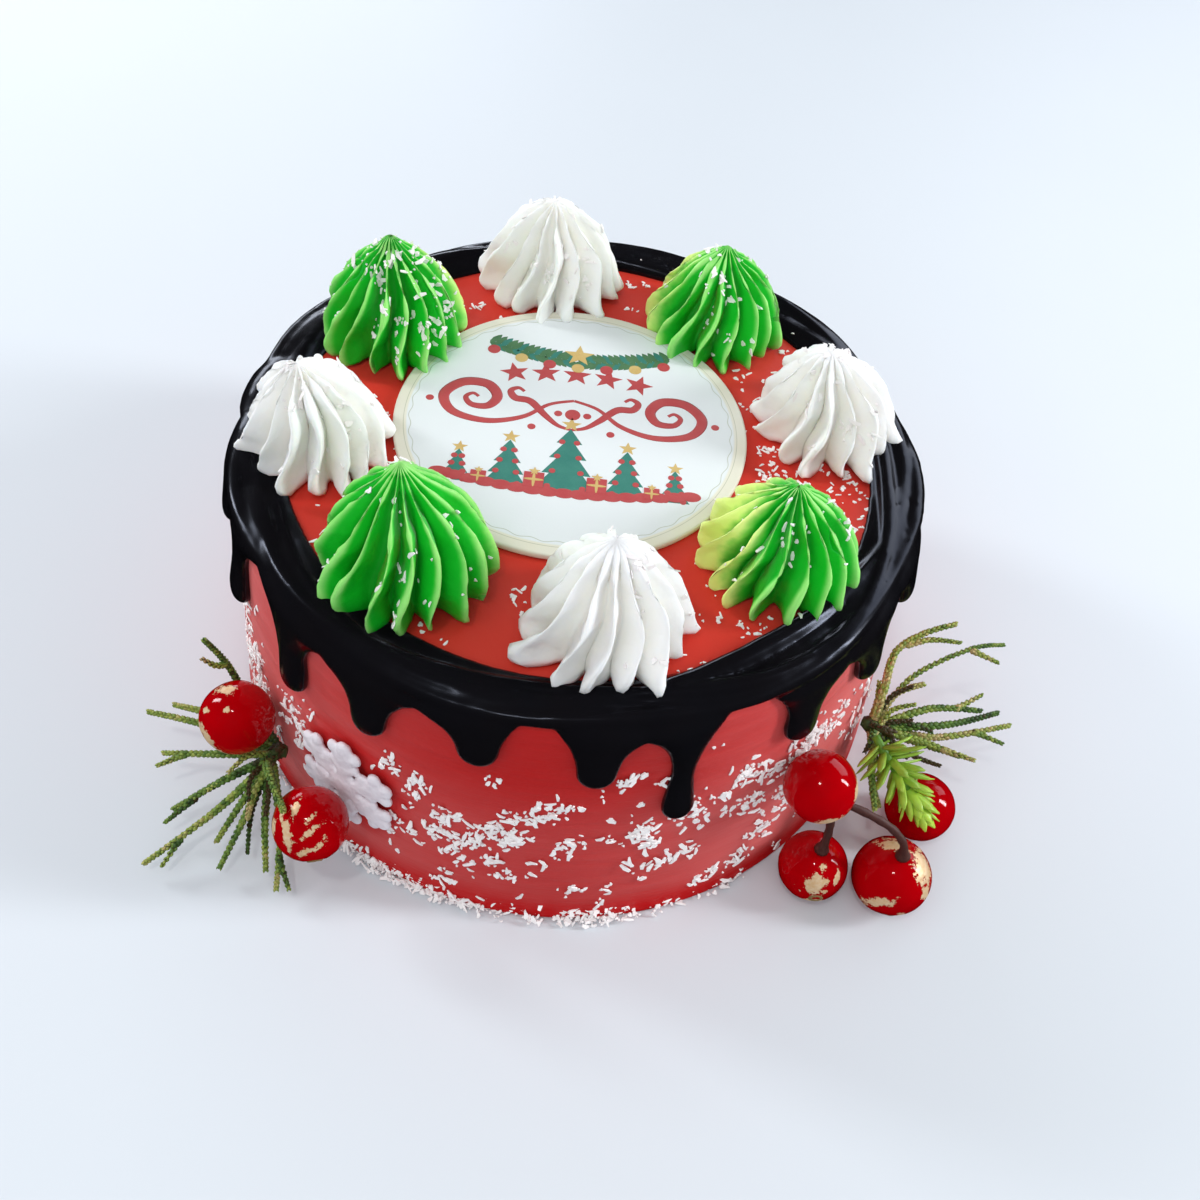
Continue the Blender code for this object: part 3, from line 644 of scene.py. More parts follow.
@dataclass(frozen=True)
class TableTop:
    """The plain pale surface under the cake."""

    colour: Colour = tint("D9E0E6")

    def material(self) -> Material:
        """Returns the surface's material."""
        graph = Graph("table_top")
        faint = graph.noise(60, 2)
        return graph.finish(base_color=self.colour, roughness=0.5 + 0.1 * faint)


class Bench:
    """The steps of modelling that every piece shares."""

    @staticmethod
    def show(name: str, data: bpy.types.ID) -> Piece:
        """Puts a mesh, curve, light or camera into the scene as an object."""
        piece = bpy.data.objects.new(name, data)
        bpy.context.scene.collection.objects.link(piece)
        return piece

    @staticmethod
    def aim(piece: Piece, way: Point) -> None:
        """Turns a piece's top towards a direction."""
        piece.rotation_mode = "QUATERNION"
        piece.rotation_quaternion = Vector(way).to_track_quat("Z", "Y")

    @staticmethod
    def hold(*pieces: Piece) -> None:
        """Selects these objects alone and makes the first one active."""
        bpy.ops.object.select_all(action="DESELECT")
        for piece in pieces:
            piece.select_set(True)
        bpy.context.view_layer.objects.active = pieces[0]

    @staticmethod
    @contextmanager
    def editing(piece: Piece) -> Iterator[None]:
        """Keeps the piece in edit mode, with all of it selected at the start.

        Args:
            piece: The piece.
        """
        Bench.hold(piece)
        bpy.ops.object.mode_set(mode="EDIT")
        bpy.ops.mesh.select_all(action="SELECT")
        yield
        bpy.ops.object.mode_set(mode="OBJECT")

    @staticmethod
    def pick(piece: Piece, kind: str, test: Test) -> None:
        """Selects corners, edges or faces of a piece in edit mode.

        Args:
            piece: The piece.
            kind: VERT, EDGE or FACE.
            test: Says of one of them whether it is selected.
        """
        bpy.ops.mesh.select_mode(type=kind)
        bpy.ops.mesh.select_all(action="DESELECT")
        mesh = bmesh.from_edit_mesh(piece.data)
        parts = {"VERT": mesh.verts, "EDGE": mesh.edges, "FACE": mesh.faces}[kind]
        for part in parts:
            if test(part):
                part.select_set(True)
        mesh.select_flush_mode()
        bmesh.update_edit_mesh(piece.data)

    @staticmethod
    def rise(edge: bmesh.types.BMEdge) -> float:
        """Returns how much higher one end of an edge lies than the other."""
        return abs(edge.verts[0].co.z - edge.verts[1].co.z)

    @staticmethod
    def take_faces() -> None:
        """Selects every face."""
        bpy.ops.mesh.select_mode(type="FACE")
        bpy.ops.mesh.select_all(action="SELECT")

    @staticmethod
    def face_outwards() -> None:
        """Turns every face's normal outwards."""
        bpy.ops.mesh.select_all(action="SELECT")
        bpy.ops.mesh.normals_make_consistent(inside=False)

    @staticmethod
    def divide_top(piece: Piece, width: float, count: int) -> None:
        """Insets the large face on top of a piece, again and again.

        Args:
            piece: The piece.
            width: The width of each inset.
            count: The number of insets.
        """
        Bench.pick(piece, "FACE", lambda face: face.normal.z > 0.99 and len(face.verts) > 4)
        for _ in range(count):
            bpy.ops.mesh.inset(thickness=width)

    @staticmethod
    def move(shift: Point) -> None:
        """Moves the selection by a shift."""
        bpy.ops.transform.translate(value=shift)

    @staticmethod
    def extrude(shift: Point) -> None:
        """Extrudes the selected face by a shift."""
        bpy.ops.mesh.extrude_region_move(TRANSFORM_OT_translate={"value": shift})

    @staticmethod
    def resize(shares: Point, centre: Point = ORIGIN) -> None:
        """Scales the selection about a centre."""
        bpy.ops.transform.resize(value=shares, center_override=centre)

    @staticmethod
    def turn(angle: float, centre: Point) -> None:
        """Turns the selection round the vertical through a centre, from +X towards +Y."""
        bpy.ops.transform.rotate(value=-angle, orient_axis="Z", center_override=centre)

    @staticmethod
    def modify(piece: Piece, kind: str, **settings: object) -> None:
        """Adds a modifier and applies it.

        Args:
            piece: The piece.
            kind: The modifier's type.
            **settings: Its settings.
        """
        modifier = piece.modifiers.new(kind.title(), kind)
        for name, setting in settings.items():
            setattr(modifier, name, setting)
        Bench.hold(piece)
        bpy.ops.object.modifier_apply(modifier=modifier.name)

    @staticmethod
    def soften(piece: Piece, levels: int) -> None:
        """Subdivides the piece into a smooth surface."""
        settings = {"levels": levels, "render_levels": levels, "use_limit_surface": False}
        Bench.modify(piece, "SUBSURF", **settings)

    @staticmethod
    def ruffle(piece: Piece, grain: float, depth: float, group: str = "") -> None:
        """Makes the surface faintly uneven.

        Args:
            piece: The piece.
            grain: The size of the bumps, in metres.
            depth: How far they reach from the lowest to the highest.
            group: The vertex group that it works on.
        """
        texture = bpy.data.textures.new(piece.name + "_ruffle", "CLOUDS")
        texture.noise_scale = grain
        Bench.modify(piece, "DISPLACE", texture=texture, strength=depth, mid_level=0.5, vertex_group=group)

    @staticmethod
    def join(pieces: Sequence[Piece]) -> Piece:
        """Joins objects into the first one and returns it."""
        Bench.hold(*pieces)
        bpy.ops.object.join()
        return pieces[0]

    @staticmethod
    def rod(points: Sequence[Vector], radii: Sequence[float], sides: int = 8, loop: bool = False) -> Piece:
        """Bevels a path into a rod and makes it a mesh.

        Args:
            points: The path's points.
            radii: The rod's radius at each of them.
            sides: The number of its sides: 4, 6, 8 and so on.
            loop: Whether the path closes.

        Returns:
            The rod, its ends closed.
        """
        curve = bpy.data.curves.new("rod", "CURVE")
        curve.dimensions = "3D"
        curve.bevel_depth = 1.0
        curve.bevel_resolution = sides // 2 - 2
        curve.use_fill_caps = not loop
        path = curve.splines.new("POLY")
        path.points.add(len(points) - 1)
        path.use_cyclic_u = loop
        for spot, point, radius in zip(path.points, points, radii):
            spot.co = (*point, 1.0)
            spot.radius = radius
        rod = Bench.show("rod", curve)
        Bench.hold(rod)
        bpy.ops.object.convert(target="MESH")
        with Bench.editing(rod):
            bpy.ops.mesh.remove_doubles(threshold=0.01 * MM)
            Bench.face_outwards()
        return rod

    @staticmethod
    def settle(piece: Piece) -> None:
        """Puts the piece's place, turn and scale into its mesh, and shades it smooth."""
        Bench.hold(piece)
        bpy.ops.object.transform_apply(location=True, rotation=True, scale=True)
        bpy.ops.object.shade_smooth()

    @staticmethod
    def deliver(
        piece: Piece, name: str, slot: str, material: Material, nodes: Sequence[str]
    ) -> Piece:
        """Names and dresses a finished piece and hands it to the frame.

        Args:
            piece: The finished object.
            name: Its name.
            slot: The material slot that the piece belongs to. It is not used.
            material: Its finish.
            nodes: The solids that it stands for.

        Returns:
            The piece.
        """
        piece.name = name
        if not piece.data.materials:
            piece.data.materials.append(material)
        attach(piece, ROOT)
        if nodes:
            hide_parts(*nodes)
        LOG.info("%s: %d faces", name, len(piece.data.polygons))
        return piece


@dataclass(frozen=True)
class Path:
    """A smooth line through points that are given in millimetres."""

    knots: Knots

    def at(self, share: float) -> Vector:
        """Finds a point of the path.

        Args:
            share: How much of the way lies before the point.

        Returns:
            The point in metres.
        """
        last = len(self.knots) - 1
        spot = min(max(share, 0.0), 1.0) * last
        i = min(int(spot), last - 1)
        a, b, c, d = (Vector(self.knots[min(max(k, 0), last)]) for k in (i - 1, i, i + 1, i + 2))
        t = spot - i
        curved = (c - a) * t + (2 * a - 5 * b + 4 * c - d) * t**2 + (3 * b - a - 3 * c + d) * t**3
        return (b + curved / 2) * MM

    def samples(self, count: int) -> list[Vector]:
        """Returns points evenly spread along it, both ends included."""
        return [self.at(i / (count - 1)) for i in range(count)]

    def length(self) -> float:
        """Returns its length in metres."""
        points = self.samples(24)
        return sum((b - a).length for a, b in zip(points, points[1:]))

    def heading(self, share: float) -> Vector:
        """Returns its direction at a share of the way."""
        return (self.at(share + 0.02) - self.at(share - 0.02)).normalized()


class Stamp:
    """A small modelled shape that is set down many times in one mesh."""

    def __init__(self, piece: Piece) -> None:
        """Takes the shape of an object, which is then removed."""
        self.corners = [vertex.co.copy() for vertex in piece.data.vertices]
        self.faces = [tuple(polygon.vertices) for polygon in piece.data.polygons]
        bpy.data.objects.remove(piece, do_unlink=True)

    @staticmethod
    def press(name: str, prints: Sequence["Print"]) -> Piece:
        """Sets stamps down.

        Args:
            name: The new object's name.
            prints: Each stamp with its place and its tone.

        Returns:
            One object with all of them. Its mesh carries the tones.
        """
        corners: list[Vector] = []
        faces: list[tuple[int, ...]] = []
        tones: list[float] = []
        for item in prints:
            start = len(corners)
            corners.extend(item.place @ corner for corner in item.stamp.corners)
            faces.extend(tuple(start + i for i in face) for face in item.stamp.faces)
            tones.extend([item.tone] * len(item.stamp.corners))
        mesh = bpy.data.meshes.new(name)
        mesh.from_pydata(corners, [], faces)
        mesh.update()
        mesh.attributes.new("tone", "FLOAT", "POINT").data.foreach_set("value", tones)
        return Bench.show(name, mesh)


@dataclass(frozen=True)
class Print:
    """One stamp, set down at a place, with a number that its colour depends on."""

    stamp: Stamp
    place: Matrix
    tone: float = 0.0


def frame(x: Vector, y: Vector, z: Vector) -> Matrix:
    """Returns the turn that brings the axes onto three directions."""
    return Matrix((x, y, z)).transposed().to_4x4()


def lying(point: Vector, normal: Vector, spin: float, tip: float, size: Point) -> Matrix:
    """Places a stamp on a surface.

    Args:
        point: Where its middle comes.
        normal: The surface's normal there.
        spin: Its turn on the surface, in radians.
        tip: How far one end is lifted, in radians.
        size: Its length, width and thickness.

    Returns:
        The stamp's place.
    """
    base = normal.to_track_quat("Z", "Y").to_matrix().to_4x4()
    turned = base @ Matrix.Rotation(spin, 4, "Z") @ Matrix.Rotation(tip, 4, "Y")
    return Matrix.Translation(point) @ turned @ Matrix.Diagonal((*size, 1.0))


@dataclass
class IcedCake:
    """The uncut cake under its icing: a cone frustum with a rounded shoulder."""

    height: float = 69 * MM
    base_radius: float = 79 * MM
    top_radius: float = 73 * MM
    shoulder: float = 4 * MM
    # How much of the edge the bevel takes, as a share of the shoulder's radius
    bevel: float = 0.92
    foot: float = 1.5 * MM
    steps: int = 192
    rows: int = 16
    inset: float = 9 * MM
    insets: int = 7
    # The size of the icing's waves, and how far they reach
    waves: Pair = (30 * MM, 0.7 * MM)

    def profile(self, reach: float) -> tuple[float, float, float]:
        """Follows the cake's outline from the foot up the side, round the shoulder and onto the top.

        Args:
            reach: The distance gone along it.

        Returns:
            The radius and the height there, and how far the outline has turned from the side.
        """
        bend = self.height - self.shoulder
        angle = min(max((reach - bend) / self.shoulder, 0.0), math.pi / 2)
        side = between(self.base_radius, self.top_radius, min(reach, bend) / self.height)
        inward = max(reach - bend - self.shoulder * math.pi / 2, 0.0)
        radius = side - self.shoulder * (1 - math.cos(angle)) - inward
        return radius, min(reach, bend) + self.shoulder * math.sin(angle), angle

    def wrap(self, piece: Piece, azimuth: float) -> None:
        """Lays a piece that was modelled flat on the cake's outside.

        Args:
            piece: A piece with X across, Y off the cake, and Z along the outline from the foot.
            azimuth: Where its middle comes, in degrees.
        """
        for vertex in piece.data.vertices:
            across, off, reach = vertex.co
            radius, height, angle = self.profile(reach)
            out, up = off * math.cos(angle), off * math.sin(angle)
            vertex.co = polar(azimuth + math.degrees(across / radius), radius + out, height + up)

    def build(self) -> Piece:
        """Models the cake and hands it over.

        Returns:
            The iced cake.
        """
        middle = (0.0, 0.0, self.height / 2)
        bpy.ops.mesh.primitive_cylinder_add(
            vertices=self.steps, radius=self.base_radius, depth=self.height, location=middle
        )
        cake = bpy.context.active_object
        Bench.settle(cake)
        top = self.height - 0.01 * MM
        with Bench.editing(cake):
            Bench.pick(cake, "FACE", lambda face: face.normal.z > 0.9)
            share = self.top_radius / self.base_radius
            Bench.resize((share, share, 1.0), (0.0, 0.0, self.height))
            Bench.pick(cake, "EDGE", lambda edge: min(v.co.z for v in edge.verts) > top)
            bpy.ops.mesh.bevel(offset=self.shoulder * self.bevel, segments=6, profile=0.5)
            Bench.pick(cake, "EDGE", lambda edge: max(v.co.z for v in edge.verts) < 0.01 * MM)
            bpy.ops.mesh.bevel(offset=self.foot, segments=3)
            for i in range(1, self.rows):
                bpy.ops.mesh.select_all(action="SELECT")
                height = between(self.foot, self.height - self.shoulder, i / self.rows)
                bpy.ops.mesh.bisect(plane_co=(0.0, 0.0, height), plane_no=(0.0, 0.0, 1.0))
            Bench.divide_top(cake, self.inset, self.insets)
        group = cake.vertex_groups.new(name="loose")
        lifted = [v.index for v in cake.data.vertices if v.co.z > 2 * self.foot]
        group.add(lifted, 1.0, "REPLACE")
        Bench.ruffle(cake, *self.waves, "loose")
        Bench.soften(cake, 1)
        Bench.settle(cake)
        return Bench.deliver(cake, "iced_cake", "red_icing", RedIcing().material(), ["cake_body"])


@dataclass(frozen=True)
class Drip:
    """One drip and the arch of bare icing on its right, in degrees and millimetres.

    A drip has an azimuth, a tip, and the widths of its neck and its bulb. The arch has the azimuth
    and the height of its top, and the depth of its fall to this drip and to the next.
    """

    azimuth: float
    tip: float
    neck: float
    bulb: float
    arch: float
    peak: float
    falls: Pair = (14.0, 14.0)


@dataclass
class ChocolateDrip:
    """The chocolate ring on the top edge with its drips, run together into one surface."""

    cake: IcedCake
    inner_radius: float = 62.8 * MM
    outer_radius: float = 72.6 * MM
    crown: float = 70.7 * MM
    # The distance along the cake's outline where the drips start
    root: float = 72.5 * MM
    step: float = 1.1 * MM
    overlap: float = 1.18
    bulb_thickness: float = 3.5 * MM
    sink: float = 1.2 * MM
    voxel: float = 0.55 * MM
    smoothing: int = 10
    # The size of the surface's waves, and how far they reach
    waves: Pair = (13 * MM, 0.5 * MM)
    # How deep the ring reaches below the cake's top, and how many steps it is made of
    bed: float = 1.4 * MM
    steps: int = 180
    # How high over its tip a drip has come to its neck's width, and how high an arch may reach down
    # beside it, both as shares of the bulb's width
    neck_rise: float = 1.9
    arch_rise: float = 0.4
    front: tuple[Drip, ...] = (
        Drip(-165.5, 51.5, 7.4, 8.6, -158.5, 66),
        Drip(-152.6, 43.8, 6.2, 8.4, -142.4, 67, (14, 19)),
        Drip(-131.5, 45.6, 7.2, 8.2, -124.3, 64.2, (9, 13)),
        Drip(-115.2, 51, 8.2, 8, -106.7, 65.2, (13, 12)),
        Drip(-97.8, 55, 8.2, 8.6, -89.9, 69.4, (13, 13)),
        Drip(-80.5, 52.6, 8, 8, -74, 64.9, (10, 12)),
        Drip(-67.5, 39.5, 4.8, 7, -58.4, 69.6, (20, 13)),
        Drip(-47.2, 50.4, 6.8, 8.2, -38.6, 63.8, (11, 9)),
        Drip(-30.4, 50.8, 7, 8.2, -21.5, 65.5, (13, 12)),
        Drip(-13, 52.5, 7, 8.4, -5, 66.5),
        Drip(3.5, 56.5, 8, 8.4, 11.5, 67.5),
    )
    back_count: int = 10
    back_tip: Pair = (44.0, 55.0)
    back_neck: Pair = (6.6, 8.6)
    back_peak: Pair = (63.8, 68.5)
    back_bulb: float = 8.3
    back_wander: float = 1.8
    # How fast their places, tips, necks and arches vary from one to the next
    back_rhythm: tuple[float, ...] = (2.4, 1.9, 3.1, 1.3)
    # A bulb by its height over the tip, as shares of its width: its width, and its thickness
    bulb_shape: Pairs = (
        (0, 0.2), (0.04, 0.42), (0.1, 0.6), (0.19, 0.78), (0.3, 0.91), (0.42, 0.98), (0.58, 1),
    )
    bulb_depth: Pairs = (
        (0, 0.3), (0.04, 0.52), (0.1, 0.7), (0.19, 0.86), (0.3, 0.95), (0.45, 1), (0.7, 0.97), (1.1, 0.86),
        (1.6, 0.73), (2.2, 0.66),
    )
    # The spatula's ridges: radius, thickness, height over the cake's top, sway, and its waves round
    # with the azimuth of one of them
    ridges: tuple[tuple[float, float, float, float, int, float], ...] = (
        (67.6 * MM, 2.1 * MM, 3.1 * MM, 3.0 * MM, 3, 12.0),
        (68.8 * MM, 1.6 * MM, 3.2 * MM, 2.6 * MM, 4, -42.0),
        (72.4 * MM, 1.7 * MM, 2.3 * MM, 0.7 * MM, 7, 0.0),
    )
    ridge_azimuth: float = -25.0
    ridge_fade: float = 1.1 * MM

    def drips(self) -> list[Drip]:
        """Returns the drips in order round the cake, the hidden ones by a rule like the front's."""
        start, end = self.front[-1].azimuth, self.front[0].azimuth + 360
        step = (end - start) / (self.back_count + 1)
        back = []
        for i in range(1, self.back_count + 1):
            aside, deep, wide, high = (rhythm * i for rhythm in self.back_rhythm)
            azimuth = start + step * i + self.back_wander * math.sin(aside)
            tip = between(*self.back_tip, 0.5 + 0.5 * math.cos(deep))
            neck = between(*self.back_neck, 0.5 + 0.5 * math.sin(wide))
            peak = between(*self.back_peak, 0.5 + 0.5 * math.sin(high))
            back.append(Drip(azimuth, tip, neck, self.back_bulb, azimuth + step / 2, peak))
        return [*self.front, *back]

    def sections(self, drip: Drip, before: Drip) -> list[tuple[float, float, float, float]]:
        """Lists a drip's cross-sections from the ring down.

        Args:
            drip: The drip.
            before: The drip on its left.

        Returns:
            For each section its distance along the outline, its left and right half widths, and its
            thickness.
        """
        tip, bulb = drip.tip * MM, drip.bulb * MM
        low = tip + self.bulb_shape[-1][0] * bulb
        count = int((self.root - low) / self.step)
        reaches = [between(self.root, low, i / count) for i in range(count)]
        reaches += [tip + rise * bulb for rise, _ in reversed(self.bulb_shape)]
        left = math.radians((drip.azimuth - before.arch) % 360) * self.cake.top_radius
        right = math.radians((drip.arch - drip.azimuth) % 360) * self.cake.top_radius
        found = []
        for reach in reaches:
            rise = (reach - tip) / bulb
            deep = lookup(self.bulb_depth, rise) * self.bulb_thickness
            narrow = lookup((*self.bulb_shape, (self.neck_rise, drip.neck / drip.bulb)), rise) * bulb / 2
            wide_left = self._flare(drip, left, before.peak, before.falls[1], reach)
            wide_right = self._flare(drip, right, drip.peak, drip.falls[0], reach)
            found.append((reach, narrow + wide_left, narrow + wide_right, deep))
        return found

    def _flare(self, drip: Drip, gap: float, peak: float, fall: float, reach: float) -> float:
        """Returns how much wider than its neck a drip is on one side: the arch is half an ellipse.

        Args:
            drip: The drip.
            gap: The distance from its middle to the arch's top.
            peak: The height of the arch's top in millimetres.
            fall: The depth of the arch on this side in millimetres.
            reach: The distance along the outline.

        Returns:
            The extra half width there.
        """
        foot = max(peak - fall, drip.tip + self.arch_rise * drip.bulb) * MM
        share = min(max((reach - foot) / (peak * MM - foot), 0.0), 1.0)
        return (gap * self.overlap - drip.neck / 2 * MM) * (1 - math.sqrt(1 - share**2))

    def model_drip(self, drip: Drip, before: Drip) -> Piece:
        """Extrudes one drip downwards, section by section, and bends it round the side.

        Args:
            drip: The drip.
            before: The drip on its left.

        Returns:
            The drip's solid.
        """
        sections = self.sections(drip, before)
        bpy.ops.mesh.primitive_circle_add(vertices=16, radius=1.0, fill_type="NGON", location=ORIGIN)
        piece = bpy.context.active_object
        height, low, high, thick = sections[0]
        half, middle = (low + high) / 2, (high - low) / 2
        deep = (thick + self.sink) / 2
        with Bench.editing(piece):
            Bench.resize((half, deep, 1.0))
            Bench.move((middle, deep - self.sink, height))
            for next_height, low, high, thick in sections[1:]:
                next_half, next_middle = (low + high) / 2, (high - low) / 2
                next_deep = (thick + self.sink) / 2
                Bench.extrude((next_middle - middle, next_deep - deep, next_height - height))
                centre = (next_middle, next_deep - self.sink, next_height)
                Bench.resize((next_half / half, next_deep / deep, 1.0), centre)
                height, half, middle, deep = next_height, next_half, next_middle, next_deep
            Bench.face_outwards()
        self.cake.wrap(piece, drip.azimuth)
        return piece

    def model_ring(self) -> list[Piece]:
        """Models the flat ring, its rolled rim and the ridges that the spatula left.

        Returns:
            The ring, the rim and the ridges, each as its own solid.
        """
        middle = (self.inner_radius + self.outer_radius) / 2
        half = (self.outer_radius - self.inner_radius) / 2
        low = self.cake.height - self.bed
        tall = (self.crown - low) / 2
        bpy.ops.mesh.primitive_torus_add(
            major_radius=middle, minor_radius=half, major_segments=self.steps, minor_segments=24,
            location=(0, 0, low + tall),
        )
        ring = bpy.context.active_object
        with Bench.editing(ring):
            Bench.resize((1.0, 1.0, tall / half), (0.0, 0.0, low + tall))
        Bench.settle(ring)
        return [ring, *(self.model_ridge(*ridge) for ridge in self.ridges)]

    def model_ridge(
        self, radius: float, thick: float, rise: float, sway: float, waves: int, widest: float
    ) -> Piece:
        """Models one of the spatula's ridges, which swells, thins and wanders as it goes round.

        Args:
            radius: How far out it runs.
            thick: Its radius.
            rise: How high its top comes over the cake's.
            sway: How far it wanders to both sides.
            waves: How many times it does so.
            widest: The azimuth of one place where it is furthest out.

        Returns:
            The ridge.
        """
        points, radii = [], []
        for i in range(self.steps):
            turn = math.tau * i / self.steps
            out = radius + sway * math.cos(waves * (turn - math.radians(widest)))
            swell = 1 + 0.2 * math.sin((waves + 2) * turn + 2 * waves)
            far = 0.5 - 0.5 * math.cos(turn - math.radians(self.ridge_azimuth))
            top = self.cake.height + rise - self.ridge_fade * far
            points.append(polar(math.degrees(turn), out, top - thick * (1.3 - 0.3 * swell)))
            radii.append(thick * swell)
        return Bench.rod(points, radii, 12, loop=True)

    def build(self) -> Piece:
        """Models the ring and the drips, runs them together and hands them over.

        Returns:
            The chocolate.
        """
        drips = self.drips()
        pieces = self.model_ring()
        pieces.extend(self.model_drip(drip, drips[i - 1]) for i, drip in enumerate(drips))
        chocolate = Bench.join(pieces)
        Bench.modify(chocolate, "REMESH", mode="VOXEL", voxel_size=self.voxel)
        Bench.modify(chocolate, "SMOOTH", factor=0.5, iterations=self.smoothing)
        Bench.ruffle(chocolate, *self.waves)
        Bench.settle(chocolate)
        finish = DarkChocolate().material()
        return Bench.deliver(chocolate, "chocolate", "dark_chocolate", finish, ["chocolate_drip"])


@dataclass(frozen=True)
class Piping:
    """How one cream is piped.

    It has the number of ridges, a kiss's outline from foot to tip as shares, the crest's crease,
    and between which shares the ridges' feet differ in thickness and in reach.
    """

    ridges: int
    outline: Pairs
    crease: float
    thickness: Pair
    reach: Pair


class Cream(Enum):
    """The two kinds of piped cream."""

    WHITE = Piping(
        14,
        ((0, 0.95), (0.05, 0.99), (0.12, 1), (0.22, 0.965), (0.35, 0.905), (0.48, 0.83), (0.6, 0.735),
         (0.71, 0.615), (0.8, 0.485), (0.87, 0.365), (0.925, 0.26), (0.965, 0.17), (1, 0.085)),
        0.3,
        (1.6, 3),
        (0.94, 1.01),
    )
    GREEN = Piping(
        16,
        ((0, 0.93), (0.05, 0.99), (0.12, 1), (0.21, 0.985), (0.32, 0.935), (0.42, 0.865), (0.52, 0.775),
         (0.62, 0.66), (0.71, 0.53), (0.78, 0.41), (0.84, 0.29), (0.89, 0.185), (0.945, 0.115), (1, 0.05)),
        0.85,
        (0, 0.8),
        (0.92, 1.02),
    )


@dataclass
class PipedKiss:
    """A kiss piped with a star nozzle: ridges that turn slowly up to a point."""

    name: str
    cream: Cream
    azimuth: float
    distance: float
    radius: float
    height: float
    lean: Pair = (0.0, 0.0)
    yellow: Pair = (0.0, 0.0)
    # One ridge's outline from crest to crest: shares of the radius, and of the ridge's turn
    ridge: tuple[float, ...] = (1.0, 0.985, 0.81, 0.67, 0.6, 0.66, 0.79, 0.98)
    spread: tuple[float, ...] = (0.0, 0.055, 0.2, 0.37, 0.53, 0.68, 0.84, 0.95)
    # How much the ridges differ in reach and in place
    reach_wander: float = 0.04
    place_wander: float = math.radians(2.6)
    # How much of a foot's swelling each of the lowest rings takes: the ring's height and the share
    foot_rings: Pairs = ((0.02, 0.9), (0.08, 1.0), (0.16, 0.7), (0.24, 0.25))
    # The half width of a foot, as a share of the ridges' spacing
    foot_width: float = 0.35
    # The cream's unevenness: the size of its bumps, and how far they reach
    bumps: Pairs = ((9 * MM, 2.2 * MM), (3 * MM, 0.6 * MM))
    base: float = 69.2 * MM
    twist: float = math.radians(9)
    sway: float = math.radians(5)
    piece: Piece | None = field(default=None, repr=False)

    def build(self, material: Material) -> Piece:
        """Models the kiss and hands it over, in its cream.

        Args:
            material: The cream's material.

        Returns:
            The kiss.
        """
        rng = random.Random(self.name)
        piping = self.cream.value
        count = len(self.ridge)
        bpy.ops.mesh.primitive_circle_add(
            vertices=piping.ridges * count, radius=self.radius, fill_type="NGON", location=ORIGIN
        )
        kiss = bpy.context.active_object
        crest = kiss.data.attributes.new("crest", "FLOAT", "POINT")
        lowest = min(self.ridge)
        for i, item in enumerate(crest.data):
            item.value = (self.ridge[i % count] - lowest) / (1 - lowest)
        with Bench.editing(kiss):
            for phase, share in enumerate(self.ridge):
                Bench.pick(kiss, "VERT", lambda vert, phase=phase: vert.index % count == phase)
                Bench.resize((share, share, 1.0))
                turn = (self.spread[phase] - phase / count) * math.tau / piping.ridges
                Bench.turn(turn, ORIGIN)
            for fin in range(piping.ridges):
                Bench.pick(
                    kiss, "VERT", lambda v, fin=fin: (v.index + count // 2) // count % piping.ridges == fin
                )
                share = 1 + rng.uniform(-1, 1) * self.reach_wander
                Bench.resize((share, share, 1.0))
                Bench.turn(rng.uniform(-1, 1) * self.place_wander, ORIGIN)
            Bench.take_faces()
            self._pipe_up(piping.outline)
            Bench.face_outwards()
            self._spread_feet(kiss, rng)
            Bench.pick(kiss, "EDGE", self._along(kiss, 0.93, 1.0))
            bpy.ops.transform.edge_crease(value=piping.crease)
            Bench.pick(kiss, "EDGE", self._along(kiss, 0.0, 0.05))
            bpy.ops.transform.edge_crease(value=0.5)
        kiss.location = polar(self.azimuth, self.distance, self.base)
        kiss.rotation_euler.z = math.radians(self.azimuth)
        Bench.settle(kiss)
        Bench.soften(kiss, 1)
        for grain, depth in self.bumps:
            Bench.ruffle(kiss, grain, depth)
        self._streak(kiss)
        Bench.settle(kiss)
        kiss.visible_glossy = False
        slot = "white_cream" if self.cream is Cream.WHITE else "green_cream"
        self.piece = Bench.deliver(kiss, self.name.replace("kiss", "piped"), slot, material, [self.name])
        return kiss

    def _pipe_up(self, outline: Sequence[Pair]) -> None:
        """Extrudes the selected star upwards, leaning and turning as it goes.

        Args:
            outline: The kiss's height and width, as shares, from its foot to its tip.
        """
        rise, width = outline[0]
        Bench.resize((width, width, 1.0))
        x = y = 0.0
        for next_rise, next_width in outline[1:]:
            bend = next_rise**2 - rise**2
            shift = (self.lean[0] * bend, self.lean[1] * bend, self.height * (next_rise - rise))
            Bench.extrude(shift)
            x, y = x + shift[0], y + shift[1]
            centre = (x, y, self.height * next_rise)
            Bench.resize((next_width / width, next_width / width, 1.0), centre)
            Bench.turn(self._turned(next_rise) - self._turned(rise), centre)
            rise, width = next_rise, next_width
        bpy.ops.mesh.merge(type="CENTER")

    def _spread_feet(self, kiss: Piece, rng: random.Random) -> None:
        """Thickens each ridge's foot and pushes it outwards, some more than others.

        Args:
            kiss: The kiss, in edit mode.
            rng: Draws how far.
        """
        piping = self.cream.value
        pitch = math.tau / piping.ridges
        for fin in range(piping.ridges):
            thick, reach = rng.uniform(*piping.thickness), rng.uniform(*piping.reach)
            middle = polar(90 + math.degrees(fin * pitch), self.radius, 0.0)
            below = -0.01
            for height, share in self.foot_rings:
